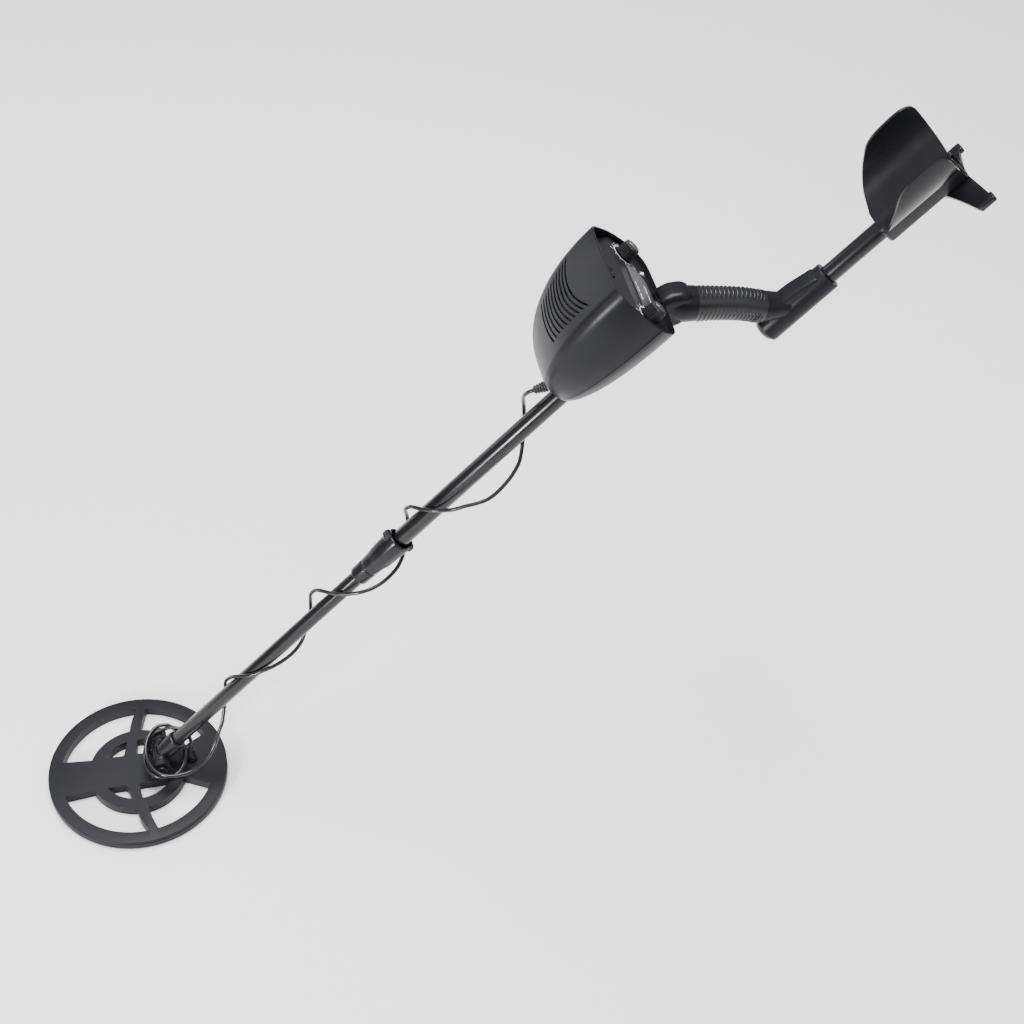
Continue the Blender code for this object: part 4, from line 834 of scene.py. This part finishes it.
def block(name, low, high, ease=0.0, look=None, body=None, nodes=()):
    (x0, y0, z0), (x1, y1, z1) = low, high
    verts = [S(x, y, z) for x in (x0, x1) for y in (y0, y1) for z in (z0, z1)]
    faces = [(0, 1, 3, 2), (4, 6, 7, 5), (0, 4, 5, 1), (2, 3, 7, 6), (0, 2, 6, 4), (1, 5, 7, 3)]
    obj = piece(name, verts, faces, look)
    if ease:
        soften(obj, ease)
        bake(obj)
    if body:
        settle(obj, body, nodes)
    return obj


def housing():
    hood = shell("hood_shell", ABOVE_SEAM)
    cut(hood, vents(), shaft_rod(0.6, 0.3, TUBE_WAY), relief_way())
    settle(hood, "upper_frame", ("housing_top_shell",))
    tray = shell("tray_shell", BELOW_SEAM)
    saddle = shaft_rod(NOSE + 0.011, 0.13, 0.013)
    cut(saddle, block("below", (0.6, -0.05, -0.05), (0.9, 0.05, FLOOR + 0.0004)))
    join(tray, saddle)
    opening = block("cell_opening", (0.757, -0.0412, -0.02), (0.807, -0.0168, 0.015))
    cut(tray, shaft_rod(0.6, 0.3, TUBE_WAY), relief_way(), opening)
    settle(tray, "upper_frame", ("housing_tray",))


def relief():
    profile = [(0, 0), (0, 0.004), (0.0088, 0.004)]
    for k in range(5):
        start = 0.0088 + k * 0.0028
        radius = 0.0063 - 0.0004 * k
        profile += [(start, radius), (start + 0.0016, radius), (start + 0.00165, radius - 0.0014),
                    (start + 0.0027, radius - 0.0014)]
    profile += [(RELIEF_LENGTH, 0.0034), (RELIEF_LENGTH, 0)]
    turned("nose_cable_boot", rounded(profile, 0.0004), S(*RELIEF_FOOT), D(*RELIEF_LEAN), "rubber_ribbed",
           "upper_frame", ("cable_strain_relief",), "black_rubber", sides=56)


def panel_width(v):
    """Half the panel's width inside the shells at a height."""
    run = sorted([(b, a) for a, b in inset(ABOVE_SEAM, WALL)] + [(b, a) for a, b in inset(BELOW_SEAM, WALL)])
    return float(np.interp(v, [b for b, _ in run], [a for _, a in run])) - 0.0008


def panel_front(v):
    """How far back the panel's face is: upright below the bend, leaning in above it."""
    bend = 1 / (1 + math.exp(-(v - PANEL_BEND_V) / 0.0009))
    return PANEL_U - PANEL_LEAN * max(0.0, v - PANEL_BEND_V) * bend


def panel():
    heights = [0.0092 + (0.088 - 0.0092) * k / 60 for k in range(61)]
    rings = []
    for v in heights:
        w, u = panel_width(v), panel_front(v)
        across = [w * (2 * k / 24 - 1) for k in range(25)]
        rings.append([S(u, y, v) for y in across] + [S(u - 0.0025, y, v) for y in reversed(across)])
    face = loft("face_panel", rings, "panel_black", angle=30)
    holes = [rod(S(0.815, side * KNOB_Y, KNOB_V), UP_SHAFT, 0.02, 0.0036, 40) for side in (-1, 1)]
    holes.append(rod(S(0.8, JACK_Y, JACK_V), UP_SHAFT, 0.03, 0.005, 48))
    holes.append(rod(S(0.815, LAMP_Y, LAMP_V), UP_SHAFT, 0.02, 0.0024, 40))
    holes.append(shaft_rod(0.8, 0.05, 0.0131))
    cut(face, *holes)
    settle(face, "upper_frame", ("control_panel",))
    corners = [(-0.033, 0.0215), (-0.028, 0.0175), (0.0215, 0.0175), (0.027, 0.023), (0.033, 0.0285),
               (0.033, 0.0435), (-0.033, 0.0435)]
    prisms("face_label", [round_corners(corners, 0.0035, 6)], PANEL_U + 0.0003, PANEL_U + 0.0008, on_panel,
           "label_film", "upper_frame", ("panel_label",), "panel_label")
    lens = [(0, 0), (0, 0.0021), (0.006, 0.0021), (0.0077, 0.0014), (0.0083, 0)]
    turned("lamp_lens", rounded(lens, 0.0008, 5), S(0.8195, LAMP_Y, LAMP_V), UP_SHAFT, "lamp_diffuser",
           "upper_frame", ("power_lamp",), "lamp_white", sides=40)
    bezel = [(0, 0.0024), (0, 0.0036), (0.0009, 0.0036), (0.0012, 0.0024)]
    turned("lamp_bezel", rounded(bezel, 0.0003), S(0.8251, LAMP_Y, LAMP_V), UP_SHAFT, "steel_plated",
           "upper_frame", (), "plated_steel", sides=40)
    front, socket_length = panel_front(JACK_V) + 0.003, 0.018
    socket = [(0, 0), (0, 0.0046), (socket_length, 0.0046), (socket_length, 0.0021), (0.005, 0.0021), (0.005, 0)]
    turned("jack_socket", rounded(socket, 0.0004), S(front - socket_length, JACK_Y, JACK_V), UP_SHAFT,
           "steel_black", "upper_frame", ("headphone_socket",), "plated_steel", sides=48)
    ring = [(0, 0.0048), (0, 0.0068), (0.0034, 0.0066), (0.0042, 0.0058), (0.0042, 0.0048)]
    turned("jack_ring", rounded(ring, 0.0004), S(front - 0.0036, JACK_Y, JACK_V), UP_SHAFT, "moulding_gloss",
           "upper_frame", (), "black_moulding", sides=48)


def on_panel(a, b, c):
    """A point of the panel's face, for prisms."""
    return S(c, a, b)


def flat_marks(name, outlines, above):
    """Printed marks on the panel: thin raised outlines in one piece."""
    low = PANEL_U + above
    prisms(name, outlines, low, low + 0.00018, on_panel, "ink_white", "upper_frame", (), "panel_label")


def dial_turn(number):
    """Where a dial's number stands, from 0 at the lower left to 10 at the lower right."""
    return math.radians(225 - 27 * number)


def scale_marks():
    """Ticks and a growing arc round each control, and plain bars on the label."""
    outlines = []
    for side in (-1, 1):
        y, v = side * KNOB_Y, KNOB_V
        inner, outer, thin = 0.0146, 0.0164, 0.00028
        for k in range(11):
            c, s = math.cos(dial_turn(k)), math.sin(dial_turn(k))
            outlines.append([(y + c * r - s * w, v + s * r + c * w)
                             for r, w in ((inner, -thin), (outer, -thin), (outer, thin), (inner, thin))])
        edges = [(0.0121, k) for k in range(41)] + [(0.0123 + 0.0018 * k / 40, k) for k in range(40, -1, -1)]
        outlines.append([(y + r * math.cos(dial_turn(k / 4)), v + r * math.sin(dial_turn(k / 4))) for r, k in edges])
    flat_marks("scale_marks", outlines, 0.00002)
    bars = []
    for low, high, v in ((-0.0215, -0.0125, 0.0385), (-0.01, -0.001, 0.0385), (0.0015, 0.0065, 0.0385),
                         (-0.0215, -0.006, 0.0245), (-0.0035, 0.009, 0.0245)):
        bars.append([(low, v), (high, v), (high, v + 0.001), (low, v + 0.001)])
    flat_marks("label_bars", bars, 0.00082)


def numerals():
    """Dial numbers round each control."""
    turn = Matrix((Vector(ACROSS), D(0, 0, 1), UP_SHAFT)).transposed().to_4x4()
    for side in (-1, 1):
        for number in (0, 5, 10):
            t = dial_turn(number)
            y, v = side * KNOB_Y + 0.0178 * math.cos(t), KNOB_V + 0.0182 * math.sin(t)
            curve = bpy.data.curves.new("numeral", "FONT")
            curve.body = str(number)
            curve.size = 0.0034
            curve.extrude = 0.00008
            curve.align_x = "CENTER"
            curve.align_y = "CENTER"
            text = bpy.data.objects.new("numeral", curve)
            bpy.context.collection.objects.link(text)
            bpy.context.view_layer.update()
            graph = bpy.context.evaluated_depsgraph_get()
            mesh = bpy.data.meshes.new_from_object(text.evaluated_get(graph))
            discard(text)
            made = bpy.data.objects.new(f"dial_number_{side + 1}_{number}", mesh)
            made.matrix_world = Matrix.Translation(S(PANEL_U + 0.00012, y, v)) @ turn
            bpy.context.collection.objects.link(made)
            mesh.materials.clear()
            mesh.materials.append(MADE["ink_white"])
            settle(made, "upper_frame", ())


def flute(distance, radius, t):
    """Fine grip flutes round a control's skirt."""
    return 0.0003 * math.cos(24 * t) if radius >= 0.007 else 0.0


def knobs():
    profile = [(0, 0.0034), (0, 0.0094), (0.001, 0.0099), (0.0022, 0.0096), (0.012, 0.0087), (0.0138, 0.008),
               (0.0144, 0.0066), (0.0141, 0.002), (0.0141, 0), (0.011, 0), (0.0108, 0.0034)]
    for side, word in SIDES:
        y = side * KNOB_Y
        turned(f"{word}_dial", rounded(profile, 0.0005), S(PANEL_U + 0.0006, y, KNOB_V), UP_SHAFT, "knob_black",
               f"{word}_control", (f"{word}_control_knob",), "knob_plastic", sides=144, ripple=flute)
        block(f"{word}_dial_pointer", (PANEL_U + 0.0146, y - 0.0005, KNOB_V + 0.0014),
              (PANEL_U + 0.0151, y + 0.0005, KNOB_V + 0.0062), 0.0001, "ink_white", f"{word}_control", ())


housing()
relief()
panel()
scale_marks()
numerals()
knobs()


# --- Handle -----------------------------------------------------------------------------------

SLEEVE_FROM, SLEEVE_TO, SLEEVE_RADIUS = 0.862, 0.951, 0.0152
# Along the grip: u, v, half its depth and half its width
GRIP_LINE = [
    (0.8285, -0.001, 0.015, 0.0138), (0.8354, -0.0145, 0.019, 0.0175), (0.844, -0.027, 0.0188, 0.0172),
    (0.854, -0.0405, 0.0178, 0.0166), (0.8632, -0.0539, 0.0174, 0.0162), (0.8718, -0.0678, 0.0172, 0.016),
    (0.8783, -0.0808, 0.017, 0.016), (0.8842, -0.0925, 0.0168, 0.0156), (0.902, -0.115, 0.0125, 0.0125),
]
GRIP_STEPS = 12
RUBBER_FROM, RUBBER_TO = 2, 7  # the rows of GRIP_LINE between which the rubber lies
HANDLE_SCREWS = ((0.8373, -0.0157), (0.8963, -0.1013))


def grip_path():
    """Rows of (u, v, depth, width) along the grip with the direction there."""
    rows = smooth_rows(GRIP_LINE, GRIP_STEPS)
    made = []
    for k, row in enumerate(rows):
        a, b = rows[max(0, k - 1)], rows[min(len(rows) - 1, k + 1)]
        made.append((row, Vector((b[0] - a[0], 0, b[1] - a[1])).normalized()))
    return made


def grip_ring(row, ahead, grow, sides=64, swell=None):
    """The grip's oval section square to its direction, grown all round and by a swell."""
    u, v, depth, width = row
    across = Vector((-ahead.z, 0, ahead.x))
    ring = []
    for j in range(sides):
        t = math.tau * j / sides
        extra = grow + (swell(t) if swell else 0.0)
        point = Vector((u, 0, v)) + across * (depth + extra) * math.cos(t)
        point += Vector(ACROSS) * (width + extra) * math.sin(t)
        ring.append(S(*point))
    return ring


def handle():
    """The two halves, cut from one form; it is thinner under the rubber."""
    path = grip_path()
    first, last = RUBBER_FROM * GRIP_STEPS, RUBBER_TO * GRIP_STEPS
    rings = [grip_ring(*path[k], 0.0) for k in range(0, first + 1, 2)]
    rings += [grip_ring(*path[k], -0.0024) for k in range(first, last + 1, 4)]
    rings += [grip_ring(*path[k], 0.0) for k in range(last, len(path), 2)]
    core = loft("handle_core", rings, "housing_satin")
    outline = [(0.8125, -0.006), (0.8125, -0.02), (0.819, -0.0262), (0.829, -0.028), (0.842, -0.0245),
               (0.852, -0.015), (0.8545, -0.0085), (0.852, -0.0015), (0.843, 0.0075), (0.833, 0.012),
               (0.8125, 0.012)]
    boss = pillow("handle_boss", outline, 0.012, 0.0145, 0.0075, steps=9)
    length = SLEEVE_TO - SLEEVE_FROM
    profile = [(0, 0), (0, 0.0095), (0.005, SLEEVE_RADIUS), (length, SLEEVE_RADIUS), (length, 0)]
    sleeve = turned("handle_socket", rounded(profile, 0.0012), S(SLEEVE_FROM, 0, ARM_V), UP_SHAFT, sides=96)
    outline = [(0.886, -0.096), (0.915, -0.0985), (0.944, -0.1048), (0.944, -0.116), (0.88, -0.116)]
    web = pillow("handle_web", outline, 0.0035, 0.01, 0.003)
    join(core, boss, sleeve, web)
    arm_way = rod(S(0.8737, 0, ARM_V), UP_SHAFT, 0.2, TUBE_WAY)
    front = block("front_trim", (0.7, -0.05, FLOOR - 0.0003), (RIM + 0.0003, 0.05, 0.08))
    cut(core, arm_way, shaft_rod(0.6283, 0.2, TUBE_WAY), front)
    screw_way = [(0, 0), (0, 0.0032), (0.0123, 0.0032), (0.0123, 0.0017), (0.031, 0.0017), (0.031, 0)]
    for side, word in SIDES:
        half = core.copy()
        half.data = core.data.copy()
        half.name = f"handle_{word}_shell"
        bpy.context.collection.objects.link(half)
        low, high = (-0.07, 0.00012) if side > 0 else (-0.00012, 0.07)
        cut(half, block("other_side", (0.69, low, -0.21), (1.11, high, 0.11)))
        cut(half, *[turned("screw_way", screw_way, S(u, 0.023, v), (0, -1, 0), sides=40) for u, v in HANDLE_SCREWS])
        soften(half, 0.0005, 2)
        settle(half, "upper_frame", (f"handle_{word}_half",))
    discard(core)


def rubber_grip():
    """A sleeve with ribs across its front and back; they stop short of its flanks."""
    path = grip_path()
    table = np.array([row + (d.x, d.z) for row, d in path])
    share = np.arange(len(path)) / GRIP_STEPS
    ribs, per = 18, 8
    rings = []
    for k in range(ribs * per + 1):
        at = RUBBER_FROM + (RUBBER_TO - RUBBER_FROM) * k / (ribs * per)
        row = [float(np.interp(at, share, table[:, c])) for c in range(6)]
        ahead = Vector((row[4], 0, row[5])).normalized()
        phase = (k % per) / per
        ridge = max(0.0, math.cos(math.tau * phase)) ** 0.6 * 0.0012
        ends = min(1.0, k / per, ribs - k / per)

        def swell(t, ridge=ridge, ends=ends):
            wrap = min(1.0, max(0.0, (math.cos(t) - 0.84) / 0.08, (0.1 - math.cos(t)) / 0.12))
            return ridge * wrap * ends - 0.0003

        rings.append(grip_ring(row[:4], ahead, 0.0, 72, swell))
    for ring, inward in ((rings[0], rings[1]), (rings[-1], rings[-2])):
        for k, point in enumerate(ring):
            point += (inward[k] - point).normalized() * 0.0003
    grip = loft("rubber_grip", rings, "rubber_ribbed", angle=50)
    room = loft("grip_room", [grip_ring(*path[k], -0.0019) for k in range(GRIP_STEPS, 8 * GRIP_STEPS + 1, 3)])
    cut(grip, room)
    settle(grip, "upper_frame", ("grip_sleeve",))


# --- Arm rest ---------------------------------------------------------------------------------

CUP_RADIUS, CUP_V, CUP_WALL = 0.046, -0.065, 0.0028
CUP_BOLT_U, CUP_BOLT_WAY = 1.09, 0.0029
CHANNEL_V = ARM_V - 0.0128
# Along the shaft, and how far up each side the cup's edge reaches there, in degrees
CUP_EDGE = [
    (1.021, 18), (1.03, 46), (1.042, 67), (1.054, 82), (1.064, 93), (1.076, 99), (1.09, 101),
    (1.107, 101), (1.115, 97), (1.1195, 91), (1.1215, 83),
]


def cup():
    """A curved trough on a channel that clamps the tube."""
    steps = 64
    rings = []
    for u, reach in smooth_rows(CUP_EDGE, 6):
        ring = []
        for radius, turns in ((CUP_RADIUS, range(steps + 1)), (CUP_RADIUS - CUP_WALL, range(steps, -1, -1))):
            for k in turns:
                angle = -reach + 2 * reach * k / steps
                t = math.radians(angle - 90)
                lean = 0.006 * max(0.0, (u - 1.064) / 0.0575) * max(0.0, 1 - abs(angle) / 90)
                ring.append(S(u - lean, radius * math.cos(t), CUP_V + radius * math.sin(t)))
        rings.append(ring)
    trough = loft("forearm_cup", rings, "moulding_gloss")
    channel = block("cup_channel", (1.02, -0.0135, CHANNEL_V), (1.118, 0.0135, -0.1086), 0.004)
    join(trough, channel)
    bolt_way = rod(S(CUP_BOLT_U, 0, ARM_V - 0.04), D(0, 0, 1), 0.08, CUP_BOLT_WAY, 32)
    cut(trough, rod(S(1.01, 0, ARM_V), UP_SHAFT, 0.2, TUBE_WAY, 72), bolt_way)
    soften(trough, 0.0009)
    settle(trough, "upper_frame", ("arm_cup",))


def stand():
    """Two legs, spread and lowered toward their ends, with a pad under each."""
    top = CHANNEL_V - 0.0003
    rings = []
    for k in range(41):
        share = -1 + k / 20
        high = top - 0.0075 * abs(share) ** 1.7
        front = 1.081 + 0.024 * abs(share) ** 0.8
        back = 1.115 + 0.0085 * abs(share)
        y = 0.044 * share
        rings.append([S(front, y, high - 0.005), S(back, y, high - 0.005), S(back, y, high), S(front, y, high)])
    legs = loft("stand_legs", rings, "moulding_gloss")
    pads = [block("stand_pad", (1.106, y - 0.005, top - 0.0155), (1.1245, y + 0.005, top - 0.0085), 0.0016)
            for y in (-0.0405, 0.0405)]
    join(legs, *pads)
    cut(legs, rod(S(CUP_BOLT_U, 0, top - 0.03), D(0, 0, 1), 0.05, CUP_BOLT_WAY, 32))
    soften(legs, 0.001)
    settle(legs, "upper_frame", ("arm_stand",))


handle()
rubber_grip()
cup()
stand()
